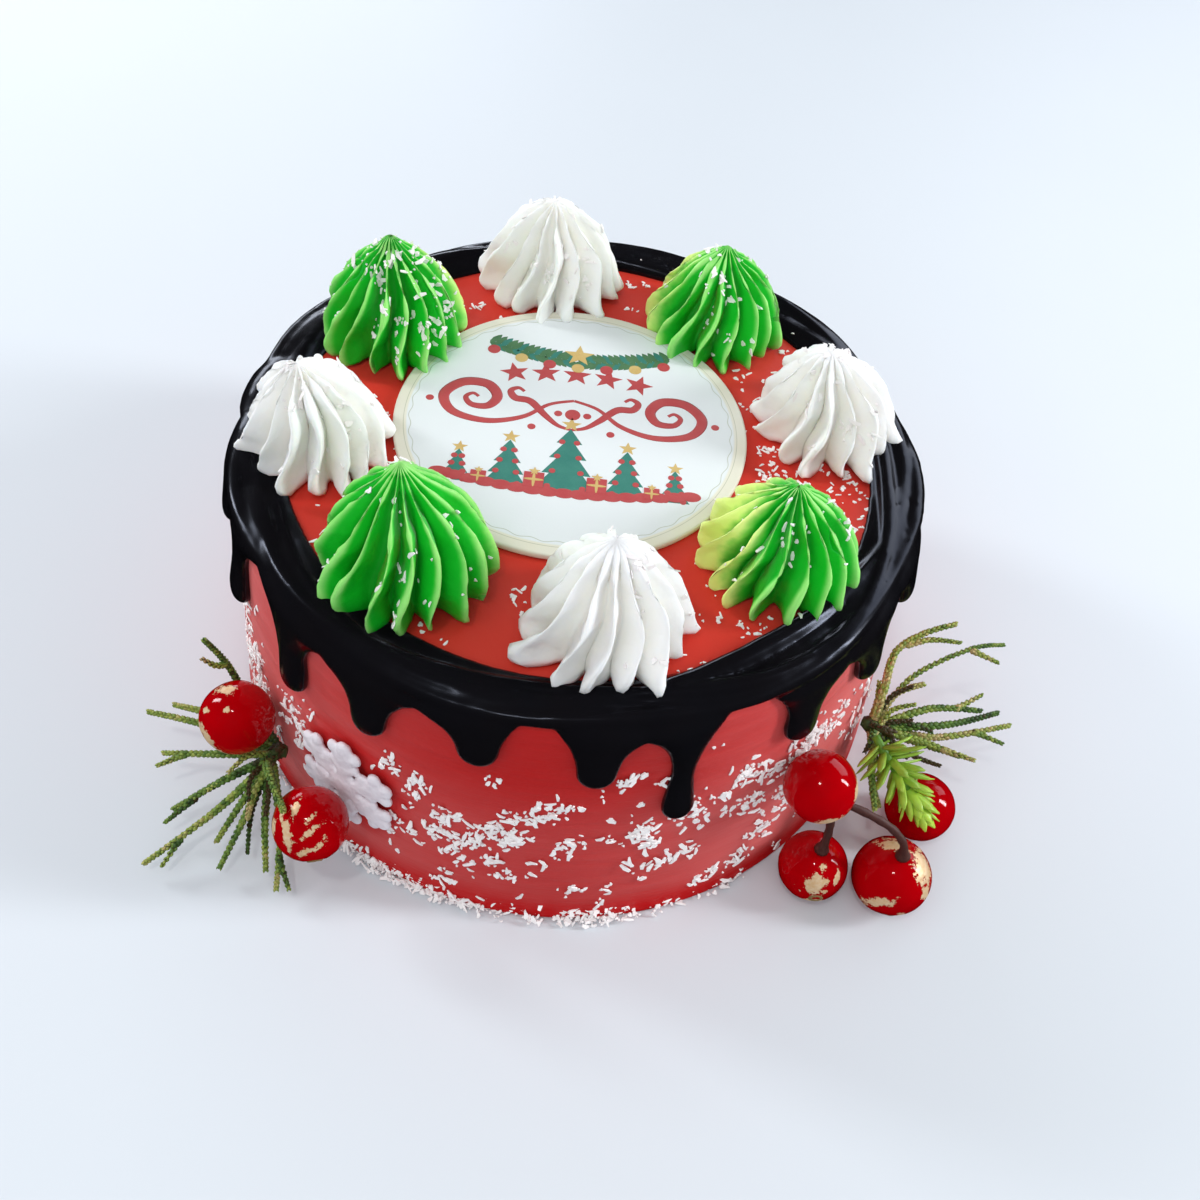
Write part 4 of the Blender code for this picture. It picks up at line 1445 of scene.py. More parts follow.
                # The crest, its flanks and the whole foot: the corners it takes by their crest value, the
                # share of the radius that they swell from, and how much
                for low, high, out, amount in (
                    (0.9, 1.1, 0.975, 1 + thick * share),
                    (0.4, 0.9, 0.9, 1 + 0.3 * thick * share),
                    (0.4, 1.1, 0.0, 1 + (reach - 1) * share),
                ):
                    Bench.pick(kiss, "VERT", self._on_foot(kiss, fin, (below, height), (low, high)))
                    Bench.resize((amount, amount, 1.0), middle * out)
                below = height

    def _on_foot(self, kiss: Piece, fin: int, rises: Pair, crests: Pair) -> Test:
        """Makes a test for the corners of a ridge between two heights and two crest values.

        Args:
            kiss: The kiss.
            fin: The ridge's number.
            rises: The two heights, as shares of the kiss's.
            crests: The two crest values.

        Returns:
            The test.
        """
        layer = self._crests(kiss)
        ridges = self.cream.value.ridges

        def test(vert: bmesh.types.BMVert) -> bool:
            """Tells whether a corner is one of them."""
            off = abs(math.atan2(-vert.co.x, vert.co.y) / (math.tau / ridges) % ridges - fin)
            near = min(off, ridges - off) < self.foot_width
            fits = rises[0] < vert.co.z / self.height < rises[1]
            return near and fits and crests[0] < vert[layer] <= crests[1]

        return test

    def _along(self, kiss: Piece, low: float, high: float) -> Test:
        """Makes a test for the upright edges between two heights of the ridges' outline.

        Args:
            kiss: The kiss.
            low: The lowest crest value.
            high: The highest crest value.

        Returns:
            The test.
        """
        layer = self._crests(kiss)
        return lambda edge: (
            all(low <= vert[layer] <= high + 0.001 for vert in edge.verts)
            and Bench.rise(edge) > 0.1 * MM
        )

    def _crests(self, kiss: Piece) -> bmesh.types.BMLayerItem:
        """Returns the layer that says of each corner how near its ridge's crest it lies."""
        return bmesh.from_edit_mesh(kiss.data).verts.layers.float["crest"]

    def _turned(self, rise: float) -> float:
        """Returns how far the ridges have turned at a share of the height: an S, on a slow twist."""
        return self.twist * rise - self.sway * math.sin(math.tau * min(rise / 0.8, 1.0))

    def _streak(self, kiss: Piece) -> None:
        """Marks the side that the paler cream came out on.

        Args:
            kiss: The kiss.
        """
        azimuth, amount = self.yellow
        way = polar(azimuth, 1.0, 0.0)
        centre = polar(self.azimuth, self.distance, self.base)
        mark = kiss.data.attributes.new("yellow", "FLOAT", "POINT")
        for item, vertex in zip(mark.data, kiss.data.vertices):
            toward = (vertex.co - centre).dot(way) / self.radius
            item.value = max(0.0, toward + 0.08) * amount


@dataclass
class KissRing:
    """The eight kisses round the top."""

    kisses: tuple[PipedKiss, ...] = (
        PipedKiss("kiss_white_1", Cream.WHITE, 104.9, 54.6 * MM, 16.6 * MM, 24.1 * MM),
        PipedKiss("kiss_green_1", Cream.GREEN, 59.1, 50.9 * MM, 16.5 * MM, 24.7 * MM, yellow=(150, 0.7)),
        PipedKiss("kiss_white_2", Cream.WHITE, 14.8, 54.4 * MM, 16.6 * MM, 22.9 * MM, (-3.1 * MM, 0)),
        PipedKiss("kiss_green_2", Cream.GREEN, -33.9, 51.4 * MM, 16.6 * MM, 24.4 * MM, yellow=(168, 1.15)),
        PipedKiss("kiss_white_3", Cream.WHITE, -78.7, 52.8 * MM, 16.9 * MM, 25.4 * MM, (-1.7 * MM, 0)),
        PipedKiss("kiss_green_3", Cream.GREEN, -123.8, 52.9 * MM, 17.8 * MM, 30.8 * MM, yellow=(20, 0.25)),
        PipedKiss("kiss_white_4", Cream.WHITE, -166.3, 55.6 * MM, 16.1 * MM, 24.4 * MM, (2.2 * MM, 0.7 * MM)),
        PipedKiss("kiss_green_4", Cream.GREEN, 150.6, 53.3 * MM, 16.7 * MM, 27.9 * MM, yellow=(70, 0.6)),
    )

    def build(self) -> tuple[PipedKiss, ...]:
        """Models all the kisses.

        Returns:
            The kisses, in order round the cake.
        """
        finishes = {Cream.WHITE: WhiteCream().material(), Cream.GREEN: GreenCream().material()}
        for kiss in self.kisses:
            kiss.build(finishes[kiss.cream])
        return self.kisses


@dataclass
class IcingPlaque:
    """The round sugar plaque with its printed winter design."""

    centre: Pair = (-2.8 * MM, 3.7 * MM)
    radius: float = 38.6 * MM
    base: float = 69.3 * MM
    thickness: float = 1.8 * MM
    bevel: float = 0.55 * MM

    def build(self) -> Piece:
        """Models the plaque and its print.

        Returns:
            The plaque.
        """
        place = (*self.centre, self.base + self.thickness / 2)
        bpy.ops.mesh.primitive_cylinder_add(
            vertices=128, radius=self.radius, depth=self.thickness, location=place
        )
        plaque = bpy.context.active_object
        Bench.settle(plaque)
        with Bench.editing(plaque):
            Bench.pick(plaque, "EDGE", lambda edge: Bench.rise(edge) < CLOSE)
            bpy.ops.mesh.bevel(offset=self.bevel, segments=3)
            Bench.divide_top(plaque, 7 * MM, 5)
        Bench.settle(plaque)
        sheet = SugarSheet(self.centre, self.radius).material()
        Bench.deliver(plaque, "sugar_plaque", "white_icing", sheet, ["icing_plaque"])
        WinterPrint(self.centre, self.base + self.thickness).build()
        return plaque


class FlatShape(Enum):
    """The print's shapes: the number of corners, and every second corner's share of the radius."""

    DISC = (20, 1.0)
    STAR = (10, 0.42)
    TIER = (3, 1.0)
    LEAF = (8, 0.86)
    BOX = (4, 1.0)


class Pot(Enum):
    """The print's inks, and the material slots that they belong to."""

    RED = (Ink("ink_red", tint("B4343A"), tint("C9605E")), "red_icing")
    GREEN = (Ink("ink_green", tint("2F6440"), tint("6C9468")), "evergreen")
    TEAL = (Ink("ink_teal", tint("237267"), tint("4E9585")), "evergreen")
    GOLD = (Ink("ink_gold", tint("C49A4E"), tint("E3D090")), "white_icing")


@dataclass
class WinterPrint:
    """The printed design: a garland with baubles, five stars, a scroll and a row of fir trees."""

    centre: Pair
    height: float
    depth: float = 0.05 * MM
    turn: float = math.radians(2.5)
    # The trees' places and heights, and the parcels' places and sizes, in millimetres
    trees: Pairs = ((-23, 10), (-12.6, 14.5), (0, 20), (12.6, 14.5), (23, 10))
    parcels: Pairs = ((-18.2, 2.3), (-6.6, 3), (6.6, 3), (18.2, 2.3))
    ground: float = -21
    # The dots round the scroll, which repeat on its left
    dots: Pairs = ((3.2, 2.6), (31.5, 3.4), (8.6, -2.4))
    scroll: Path = Path(
        (
            (-21, 5.4, 0), (-22.4, 6.3, 0), (-23.8, 4.8, 0), (-22.2, 2.6, 0), (-18.6, 2.8, 0),
            (-17, 6.2, 0), (-19.6, 9.8, 0), (-25, 9.6, 0), (-28.6, 5, 0), (-26, -0.2, 0),
            (-18.4, -2, 0), (-10.8, 0.4, 0), (-5.4, 5.2, 0), (0, 7.2, 0),
        )
    )
    curl: Path = Path(
        (
            (-11.2, 8.6, 0), (-12.6, 9.6, 0), (-14.2, 8.4, 0), (-13, 6.2, 0), (-9.6, 5.6, 0),
            (-6, 1.6, 0), (-3, -1.2, 0), (0, -2.2, 0),
        )
    )
    _stamps: dict[FlatShape, Stamp] = field(default_factory=dict)
    _prints: dict[Pot, list[Print]] = field(default_factory=lambda: {pot: [] for pot in Pot})

    def build(self) -> None:
        """Draws the design, and prints each ink as one thin piece."""
        self._stamps = {shape: self._flat(*shape.value) for shape in FlatShape}
        for draw in (self._garland, self._stars, self._dots, self._firs, self._gifts, self._bank):
            draw()
        for pot, prints in self._prints.items():
            ink, slot = pot.value
            name = f"print_{pot.name.lower()}"
            piece = Stamp.press(name, prints)
            if pot is Pot.RED:
                piece = Bench.join([piece, *self._scrolls()])
            Bench.deliver(piece, name, slot, ink.material(), [])

    def _garland(self) -> None:
        """Draws the garland: leaves along both sides of an arch, baubles under it and a star."""
        for i in range(31):
            x = 1.3 * (i - 15)
            y = 24.4 - 3.6 * (1 - (x / 19.5) ** 2)
            for side in (-1, 1):
                pot = Pot.TEAL if (i + side) % 3 == 0 else Pot.GREEN
                lean = side * (52 if x < 0 else 128) - 90
                self._put(pot, FlatShape.LEAF, x, y + side * 1.1, 2.1, lean, (0.4, 1), i % 5 + 2 * side + 2)
            if i % 5 == 0:
                pot = Pot.GOLD if i % 10 == 5 else Pot.RED
                self._put(pot, FlatShape.DISC, x, y - 2.6, 1.45, layer=9)
        self._put(Pot.GOLD, FlatShape.STAR, 0, 22.6, 3.6, layer=11)

    def _stars(self) -> None:
        """Draws the five stars in a shallow arch."""
        for i in range(-2, 3):
            self._put(Pot.RED, FlatShape.STAR, 7.0 * i, 15.8 - 0.3 * i**2, 3.4, -8 * i)

    def _dots(self) -> None:
        """Draws the dots round the scroll."""
        self._put(Pot.RED, FlatShape.DISC, 0, 2.6, 1.7)
        for side in (-1, 1):
            for x, y in self.dots:
                self._put(Pot.RED, FlatShape.DISC, side * x, y, 0.9)

    def _firs(self) -> None:
        """Draws the fir trees: four tiers with a bauble at both ends, and a star on top."""
        for x, tall in self.trees:
            for tier in range(4):
                size = tall * (0.37 - 0.07 * tier)
                y = self.ground + tall * (0.2 + 0.2 * tier)
                self._put(Pot.TEAL, FlatShape.TIER, x, y, size, 0, (1, 0.95), tier)
                for side in (-1, 1):
                    self._put(Pot.RED, FlatShape.DISC, x + side * size * 0.5, y - size * 0.36, 0.7, layer=8)
            self._put(Pot.GOLD, FlatShape.STAR, x, self.ground + tall * 1.02, 1.3 + 0.05 * tall)

    def _gifts(self) -> None:
        """Draws the parcels between the trees, each with a ribbon both ways and a bow."""
        for x, size in self.parcels:
            y = self.ground + size * 0.9
            self._put(Pot.RED, FlatShape.BOX, x, y, size, 45, layer=18)
            for turn in (0, 90):
                self._put(Pot.GOLD, FlatShape.DISC, x, y, size * 0.7, turn, (0.16, 1), 21 + turn // 30)
            self._put(Pot.GOLD, FlatShape.STAR, x, y + size * 0.8, size * 0.4, layer=26)

    def _bank(self) -> None:
        """Draws the ground under the trees as a row of low mounds."""
        for i in range(-8, 9):
            x = 3.3 * i
            y = self.ground - 0.4 + 0.004 * x * x
            self._put(Pot.RED, FlatShape.DISC, x, y, 2.2, 0, (1, 0.62), 12 + i % 4)

    def _flat(self, corners: int, share: float) -> Stamp:
        """Models a flat shape of radius 1 and thickness 1.

        Args:
            corners: The number of its corners.
            share: Every second corner's share of the radius.

        Returns:
            The shape.
        """
        bpy.ops.mesh.primitive_circle_add(vertices=corners, radius=1.0, fill_type="NGON", location=ORIGIN)
        shape = bpy.context.active_object
        with Bench.editing(shape):
            Bench.pick(shape, "VERT", lambda vert: vert.index % 2 == 1)
            Bench.resize((share, share, 1.0))
            Bench.take_faces()
            Bench.extrude((0.0, 0.0, 1.0))
            Bench.face_outwards()
        return Stamp(shape)

    def _put(
        self, pot: Pot, shape: FlatShape, x: float, y: float, size: float, turn: float = 0.0,
        stretch: Pair = (1, 1), layer: int = 0,
    ) -> None:
        """Places a shape on the sheet.

        Args:
            pot: Its ink.
            shape: The shape.
            x: Where it comes, to the right of the sheet's centre, in millimetres.
            y: The same towards its top.
            size: Its radius in millimetres.
            turn: Its turn in degrees.
            stretch: Its own width and height as shares.
            layer: How many layers of ink lie below it.
        """
        thick = self.depth * (1 + 0.12 * layer)
        spin = Matrix.Rotation(math.radians(turn), 4, "Z")
        local = Matrix.Translation((x * MM, y * MM, -self.depth / 2)) @ spin
        sizes = Matrix.Diagonal((size * stretch[0] * MM, size * stretch[1] * MM, thick, 1.0))
        self._prints[pot].append(Print(self._stamps[shape], self._sheet() @ local @ sizes))

    def _sheet(self) -> Matrix:
        """Returns the place of the sheet's centre."""
        return Matrix.Translation((*self.centre, self.height)) @ Matrix.Rotation(self.turn, 4, "Z")

    def _scrolls(self) -> list[Piece]:
        """Models the scroll's four strokes as flattened rods that swell in their middles.

        Returns:
            The strokes.
        """
        strokes = []
        for path, widest, count in ((self.scroll, 1.35 * MM, 90), (self.curl, 1.0 * MM, 50)):
            for side in (1.0, -1.0):
                points = [Vector((side * p.x, p.y, 0.0)) for p in path.samples(count)]
                swell = [math.sin(math.pi * i / count) ** 2 for i in range(count)]
                radii = [between(0.4 * MM, widest, share) for share in swell]
                stroke = Bench.rod(points, radii, 8)
                with Bench.editing(stroke):
                    Bench.resize((1.0, 1.0, 0.06))
                stroke.matrix_world = self._sheet()
                Bench.settle(stroke)
                strokes.append(stroke)
        return strokes


@dataclass(frozen=True)
class Drift:
    """A drift of coconut on the side: its ends as azimuth and height, its half width, its count."""

    start: Pair
    end: Pair
    spread: float
    count: int


@dataclass
class CoconutShreds:
    """Dried coconut in drifts on the side, at the foot, on the top and on the kisses."""

    cake: IcedCake
    chocolate: Piece
    kisses: Sequence[PipedKiss]
    rng: random.Random = field(default_factory=lambda: random.Random(31))
    # Azimuths in degrees, heights and half widths in millimetres
    drifts: tuple[Drift, ...] = (
        Drift((-101.5, 22), (-94, 31), 3.2, 80), Drift((-96, 30), (-91, 33), 2.2, 40),
        Drift((-93, 33), (-85, 43), 1.9, 46), Drift((-85, 43), (-74, 51), 1.5, 30),
        Drift((-73, 26), (-71, 34), 2, 40), Drift((-71, 34), (-63, 41), 2, 44),
        Drift((-63, 41), (-53, 46), 1.9, 50), Drift((-73, 20), (-64, 23), 1.7, 34),
        Drift((-53, 31), (-51, 32), 2, 36), Drift((-51, 19), (-49, 19), 1.6, 22),
        Drift((-54, 9), (-52, 9), 1.8, 16), Drift((-60, 8), (-57, 8), 1.8, 12),
        Drift((-86, 30), (-82, 32), 2.2, 22), Drift((-82, 13), (-76, 15), 2, 12),
        Drift((-113, 40), (-107, 41), 2.2, 34),
        Drift((-108, 30), (-100, 26), 3, 26), Drift((-154, 15), (-150, 44), 4, 130),
        Drift((-146, 16), (-142, 34), 3.6, 90), Drift((-136, 34), (-128, 26), 3.4, 50),
        Drift((-47, 37), (-43, 45), 2.6, 70), Drift((-43, 46), (-31, 42), 2.6, 80),
        Drift((-46, 24), (-38, 33), 3, 50), Drift((-28, 20), (-22, 40), 4, 70),
        Drift((-112, 16), (-44, 38), 10, 190), Drift((-160, 12), (-100, 36), 12, 120),
        Drift((-60, 6), (-24, 34), 12, 80), Drift((30, 12), (58, 24), 3, 70),
        Drift((72, 16), (96, 28), 3, 70), Drift((112, 20), (132, 32), 3, 60),
        Drift((150, 14), (176, 26), 3.2, 70), Drift((0, 26), (190, 26), 18, 130),
    )
    # Heaps along the foot: their ends' azimuths, and their count
    heaps: tuple[tuple[float, float, int], ...] = (
        (-124, -96, 330), (-96, -86, 40), (-84, -72, 110), (-72, -50, 40), (-150, -124, 60), (20, 170, 160),
    )
    # Loose shreds on the top: the ends' azimuths, and their count
    top: tuple[tuple[float, float, int], ...] = (
        (-62, 60, 420), (-16, 12, 170), (60, 200, 200), (-160, -62, 150), (-100, -60, 90),
    )
    # How many shreds fall on each kiss
    dust: tuple[int, ...] = (90, 140, 90, 70, 30, 80, 90, 440)
    # Crumbs, slivers and broad flakes: up to which draw each comes, its lengths and its widths
    sorts: tuple[tuple[float, Pair, Pair], ...] = (
        (0.46, (0.45, 1.1), (0.35, 0.65)), (0.84, (1.3, 3.2), (0.5, 1.1)), (1.0, (1.4, 3.0), (1.0, 1.7)),
    )
    thickness: Pair = (0.18, 0.36)
    # The numbers of shreds in a clump, one of which is drawn, and how far apart they lie in millimetres
    side_clumps: tuple[int, ...] = (1, 1, 2, 3, 5, 7)
    top_clumps: tuple[int, ...] = (1, 1, 1, 2, 4, 7)
    kiss_clumps: tuple[int, ...] = (1, 1, 2, 4, 7)
    scatter: float = 0.9
    # The lowest and the highest shred on the side, in millimetres
    side_limits: Pair = (1.4, 58)
    # Where the loose shreds on the top lie, by their distance from its middle in millimetres
    top_reach: Pair = (38, 66)
    # How many of those that fall on the chocolate or a kiss stay there
    sticking: float = 0.16
    # Where a kiss's shreds land, as shares of its radius
    kiss_reach: Pair = (0.16, 0.95)
    # The heap at the foot, in millimetres: its usual and greatest height, and its reach outwards
    heap_height: Pair = (1.7, 5.0)
    heap_reach: Pair = (0.2, 2.4)
    # How large the shreds are in each place, as a share of those on the side
    foot_scale: float = 0.9
    top_scale: float = 0.72
    kiss_scale: float = 0.92
    # The height that the shreds fall from
    drop: float = 0.12
    _kinds: tuple[Stamp, ...] = ()

    def build(self) -> Piece:
        """Scatters the shreds as one mesh.

        Returns:
            The coconut.
        """
        self._kinds = (self._shred(0.3), self._shred(-0.25), self._shred(0.05), self._flake())
        prints: list[Print] = []
        for drift in self.drifts:
            prints.extend(self._on_side(drift))
        for start, end, count in self.heaps:
            prints.extend(self._at_foot(start, end) for _ in range(count))
        below = self._surface([self.chocolate, *(kiss.piece for kiss in self.kisses)])
        for start, end, count in self.top:
            prints.extend(self._on_top(below, start, end, count))
        for kiss, count in zip(self.kisses, self.dust):
            prints.extend(self._on_kiss(kiss, count))
        piece = Stamp.press("coconut", prints)
        return Bench.deliver(piece, "coconut_shreds", "white_icing", Coconut().material(), ["cake_body"])

    def _shred(self, bend: float) -> Stamp:
        """Models one shred of size 1: a bar, bent in the middle and pinched at its ends.

        Args:
            bend: How far its middle lies to one side.

        Returns:
            The shred.
        """
        bpy.ops.mesh.primitive_cube_add(size=1.0, location=ORIGIN)
        shred = bpy.context.active_object
        with Bench.editing(shred):
            bpy.ops.mesh.bisect(plane_co=(0, 0, 0), plane_no=(1, 0, 0))
            Bench.pick(shred, "VERT", lambda vert: abs(vert.co.x) < 0.1)
            Bench.move((0.0, bend, 0.35))
            Bench.pick(shred, "VERT", lambda vert: vert.co.x > 0.1)
            Bench.resize((1.0, 0.5, 0.7))
            Bench.pick(shred, "VERT", lambda vert: vert.co.x < -0.1)
            Bench.resize((1.0, 0.7, 0.7))
        return Stamp(shred)

    def _flake(self) -> Stamp:
        """Models one broad flake of size 1: a thin slab with a ragged outline.

        Returns:
            The flake.
        """
        bpy.ops.mesh.primitive_circle_add(vertices=9, radius=0.55, fill_type="NGON", location=(0, 0, -0.5))
        flake = bpy.context.active_object
        Bench.settle(flake)
        with Bench.editing(flake):
            for vertex, share in ((1, 0.7), (3, 0.85), (4, 0.6), (6, 0.8), (7, 0.55)):
                Bench.pick(flake, "VERT", lambda vert, vertex=vertex: vert.index == vertex)
                Bench.resize((share, share, 1.0))
            Bench.take_faces()
            Bench.extrude((0.0, 0.0, 1.0))
            Bench.resize((0.8, 0.9, 1.0))
            Bench.face_outwards()
        return Stamp(flake)

    def _surface(self, pieces: Sequence[Piece]) -> BVHTree:
        """Gathers the surface of several pieces, for finding what lies under a point.

        Args:
            pieces: The pieces.

        Returns:
            Their faces, in one search tree.
        """
        corners: list[Vector] = []
        faces: list[tuple[int, ...]] = []
        for piece in pieces:
            start = len(corners)
            corners.extend(vertex.co for vertex in piece.data.vertices)
            faces.extend(tuple(start + i for i in polygon.vertices) for polygon in piece.data.polygons)
        return BVHTree.FromPolygons(corners, faces)

    def _draw(self, scale: float = 1.0) -> tuple[Stamp, Point]:
        """Draws a shred: mostly crumbs, then slivers, then a few broad flakes.

        Args:
            scale: A share that makes it smaller or larger.

        Returns:
            The shred's kind, and its length, width and thickness.
        """
        draw = self.rng.random()
        sort = next(i for i, (limit, _, _) in enumerate(self.sorts) if draw < limit)
        _, lengths, widths = self.sorts[sort]
        flake = len(self._kinds) - 1
        stamp = self._kinds[self.rng.randrange(sort + 2) if sort + 1 < len(self.sorts) else flake]
        length, width, thick = (self.rng.uniform(*ends) for ends in (lengths, widths, self.thickness))
        return stamp, (length * scale * MM, width * scale * MM, thick * scale * MM)

    def _clumps(
        self, count: int, sizes: Sequence[int], spot: Callable[[], Sequence[float]]
    ) -> Iterator[tuple[Sequence[float], int]]:
        """Deals shreds out in small clumps.

        Args:
            count: The number of shreds, at least.
            sizes: The numbers in a clump, one of which is drawn.
            spot: Draws a clump's place.

        Yields:
            For each shred its clump's place, and how many of the clump lie below it.
        """
        while count > 0:
            place, clump = spot(), self.rng.choice(sizes)
            count -= clump
            for layer in range(clump):
                yield place, layer

    def _aside(self) -> Vector:
        """Draws how far a shred lies from its clump's middle, seen from above."""
        return Vector((self.rng.gauss(0, self.scatter) * MM, self.rng.gauss(0, self.scatter) * MM, 0.0))

    def _on_side(self, drift: Drift) -> Iterator[Print]:
        """Lays a drift's shreds on the side in small clumps.

        Args:
            drift: The drift.

        Yields:
            The placed shreds.
        """
        rng = self.rng

        def spot() -> Pair:
            """Draws a clump's azimuth and height."""
            share = rng.random()
            turn = between(drift.start[0], drift.end[0], share)
            turn += math.degrees(rng.gauss(0, drift.spread) * MM / self.cake.base_radius)
            return turn, between(drift.start[1], drift.end[1], share) + rng.gauss(0, drift.spread)

        low, high = self.side_limits
        for (turn, rise), layer in self._clumps(drift.count, self.side_clumps, spot):
            azimuth = turn + rng.gauss(0, self.scatter)
            height = min(max(rise + rng.gauss(0, 1.0), low), high) * MM
            stamp, size = self._draw()
            lift = size[2] * 0.35 + rng.uniform(0.0, 0.13) * layer * MM
            point = polar(azimuth, self.cake.profile(height)[0] + lift, height)
            spin = rng.gauss(math.pi / 2, 0.75) if rng.random() < 0.6 else rng.uniform(0, math.pi)
            place = lying(point, polar(azimuth, 1.0, 0.08), spin, rng.gauss(0, 0.22), size)
            yield Print(stamp, place, rng.random())

    def _at_foot(self, start: float, end: float) -> Print:
        """Drops a shred on the heap along the foot.

        Args:
            start: The lowest azimuth.
            end: The highest azimuth.

        Returns:
            The placed shred.
        """
        rng = self.rng
        azimuth = rng.uniform(start, end)
        usual, greatest = self.heap_height
        near, far = (reach * MM for reach in self.heap_reach)
        rise = min(abs(rng.gauss(0, usual)), greatest) * MM
        out = max(near, rng.gauss(1.0, 0.9) * MM - 0.3 * rise)
        stamp, size = self._draw(self.foot_scale)
        point = polar(azimuth, self.cake.profile(rise)[0] - 0.6 * MM + min(out, far), rise + 0.7 * MM)
        normal = polar(azimuth, 1.0, rng.uniform(0.1, 1.6)).normalized()
        point.z = max(point.z, 0.5 * size[0])
        place = lying(point, normal, rng.uniform(0, math.tau), rng.gauss(0, 0.3), size)
        return Print(stamp, place, rng.random())

    def _on_top(self, below: BVHTree, start: float, end: float, count: int) -> Iterator[Print]:
        """Strews shreds over the top between the kisses.

        Args:
            below: The surface of the chocolate and the kisses.
            start: The lowest azimuth.
            end: The highest azimuth.
            count: The number of shreds.

        Yields:
            The placed shreds.
        """
        rng = self.rng

        def spot() -> Vector:
            """Draws a clump's place over the top."""
            return polar(rng.uniform(start, end), rng.uniform(*self.top_reach) * MM, self.drop)

        for middle, layer in self._clumps(count, self.top_clumps, spot):
            above = middle + self._aside()
            stamp, size = self._draw(self.top_scale)
            spin, tip, keep, tone = rng.uniform(0, math.tau), rng.gauss(0, 0.2), rng.random(), rng.random()
            point, normal, _, _ = below.ray_cast(above, DOWN, self.drop - self.cake.height)
            if point is None:
                point, normal = Vector((above.x, above.y, self.cake.height)), UP
            elif keep > self.sticking:
                continue
            lift = size[2] * 0.4 + rng.uniform(0.0, 0.15) * layer * MM
            yield Print(stamp, lying(point + normal * lift, normal, spin, tip, size), tone)

    def _on_kiss(self, kiss: PipedKiss, count: int) -> Iterator[Print]:
        """Dusts a kiss with shreds, some of them in small clumps.

        Args:
            kiss: The kiss.
            count: The number of shreds.

        Yields:
            The placed shreds.
        """
        rng = self.rng
        surface = self._surface([kiss.piece])
        centre = polar(kiss.azimuth, kiss.distance, self.drop)

        def spot() -> Vector:
            """Draws a clump's place over the kiss."""
            turn = rng.uniform(0, 360)
            return centre + polar(turn, kiss.radius * between(*self.kiss_reach, rng.random() ** 0.75), 0.0)

        for middle, _ in self._clumps(count, self.kiss_clumps, spot):
            above = middle + self._aside()
            stamp, size = self._draw(self.kiss_scale)
            spin, tip, tone = rng.uniform(0, math.tau), rng.gauss(0, 0.3), rng.random()
            point, normal, _, _ = surface.ray_cast(above, DOWN)
            if point is not None:
                yield Print(stamp, lying(point + normal * size[2] * 0.3, normal, spin, tip, size), tone)


@dataclass
class IcingSnowflake:
    """The moulded snowflake on the side: six knobbly arms round a hub."""

    cake: IcedCake
    azimuth: float = -119.8
    height: float = 28.6 * MM
    radius: float = 13.4 * MM
    thickness: float = 3.2 * MM
    # Knobs on each arm: how far out, how far to each side, and the radius, as shares of the flake's
    knobs: tuple[tuple[float, float, float], ...] = (
        (0.0, 0.0, 0.27), (0.2, 0.0, 0.17), (0.33, 0.0, 0.155), (0.46, 0.0, 0.15), (0.59, 0.0, 0.15),
        (0.72, 0.0, 0.15), (0.86, 0.0, 0.15), (0.51, 0.17, 0.12), (0.43, 0.09, 0.125),
        (0.78, 0.21, 0.125), (0.68, 0.11, 0.13),
    )
    thickest: float = 0.21
    voxel: float = 0.32 * MM
    # The size of its lumps, and how far they reach
    lumps: Pair = (3 * MM, 0.35 * MM)
    # Where the knobs are levelled, and how much of what is above that stays
    level: float = 0.85 * MM
    crown: float = 0.3

    def build(self) -> Piece:
        """Models the flake flat and bends it round the side.

        Returns:
            The snowflake.
        """
        pieces = []
        for k in range(6):
            way = math.radians(90 + 60 * k)
            for out, aside, size in self.knobs:
                for side in (-1, 1) if aside else (1,):
                    x = (out * math.cos(way) - side * aside * math.sin(way)) * self.radius
                    z = (out * math.sin(way) + side * aside * math.cos(way)) * self.radius
                    bpy.ops.mesh.primitive_ico_sphere_add(
                        subdivisions=2, radius=size * self.radius, location=(x, 0, z)
                    )
                    pieces.append(bpy.context.active_object)
        flake = Bench.join(pieces)
        Bench.settle(flake)
        with Bench.editing(flake):
            Bench.resize((1.0, 0.5 * self.thickness / (self.thickest * self.radius), 1.0))
        Bench.modify(flake, "REMESH", mode="VOXEL", voxel_size=self.voxel)
        Bench.modify(flake, "SMOOTH", factor=0.5, iterations=4)
        with Bench.editing(flake):
            Bench.pick(flake, "VERT", lambda vert: vert.co.y > self.level)
            Bench.resize((1.0, self.crown, 1.0), (0.0, self.level, 0.0))
        Bench.modify(flake, "SMOOTH", factor=0.5, iterations=2)
        Bench.ruffle(flake, *self.lumps)
        with Bench.editing(flake):
            Bench.move((0.0, self.thickness / 2, self.height))
        self.cake.wrap(flake, self.azimuth)
        Bench.settle(flake)
        return Bench.deliver(flake, "icing_flake", "white_icing", SnowIcing().material(), ["snowflake"])


@dataclass(frozen=True)
class Leaf:
    """A patch of gold leaf: its place as seen by the camera, its half sizes and its turn."""

    across: float
    up: float
    half_width: float
    half_height: float
    turn: float = 0.0


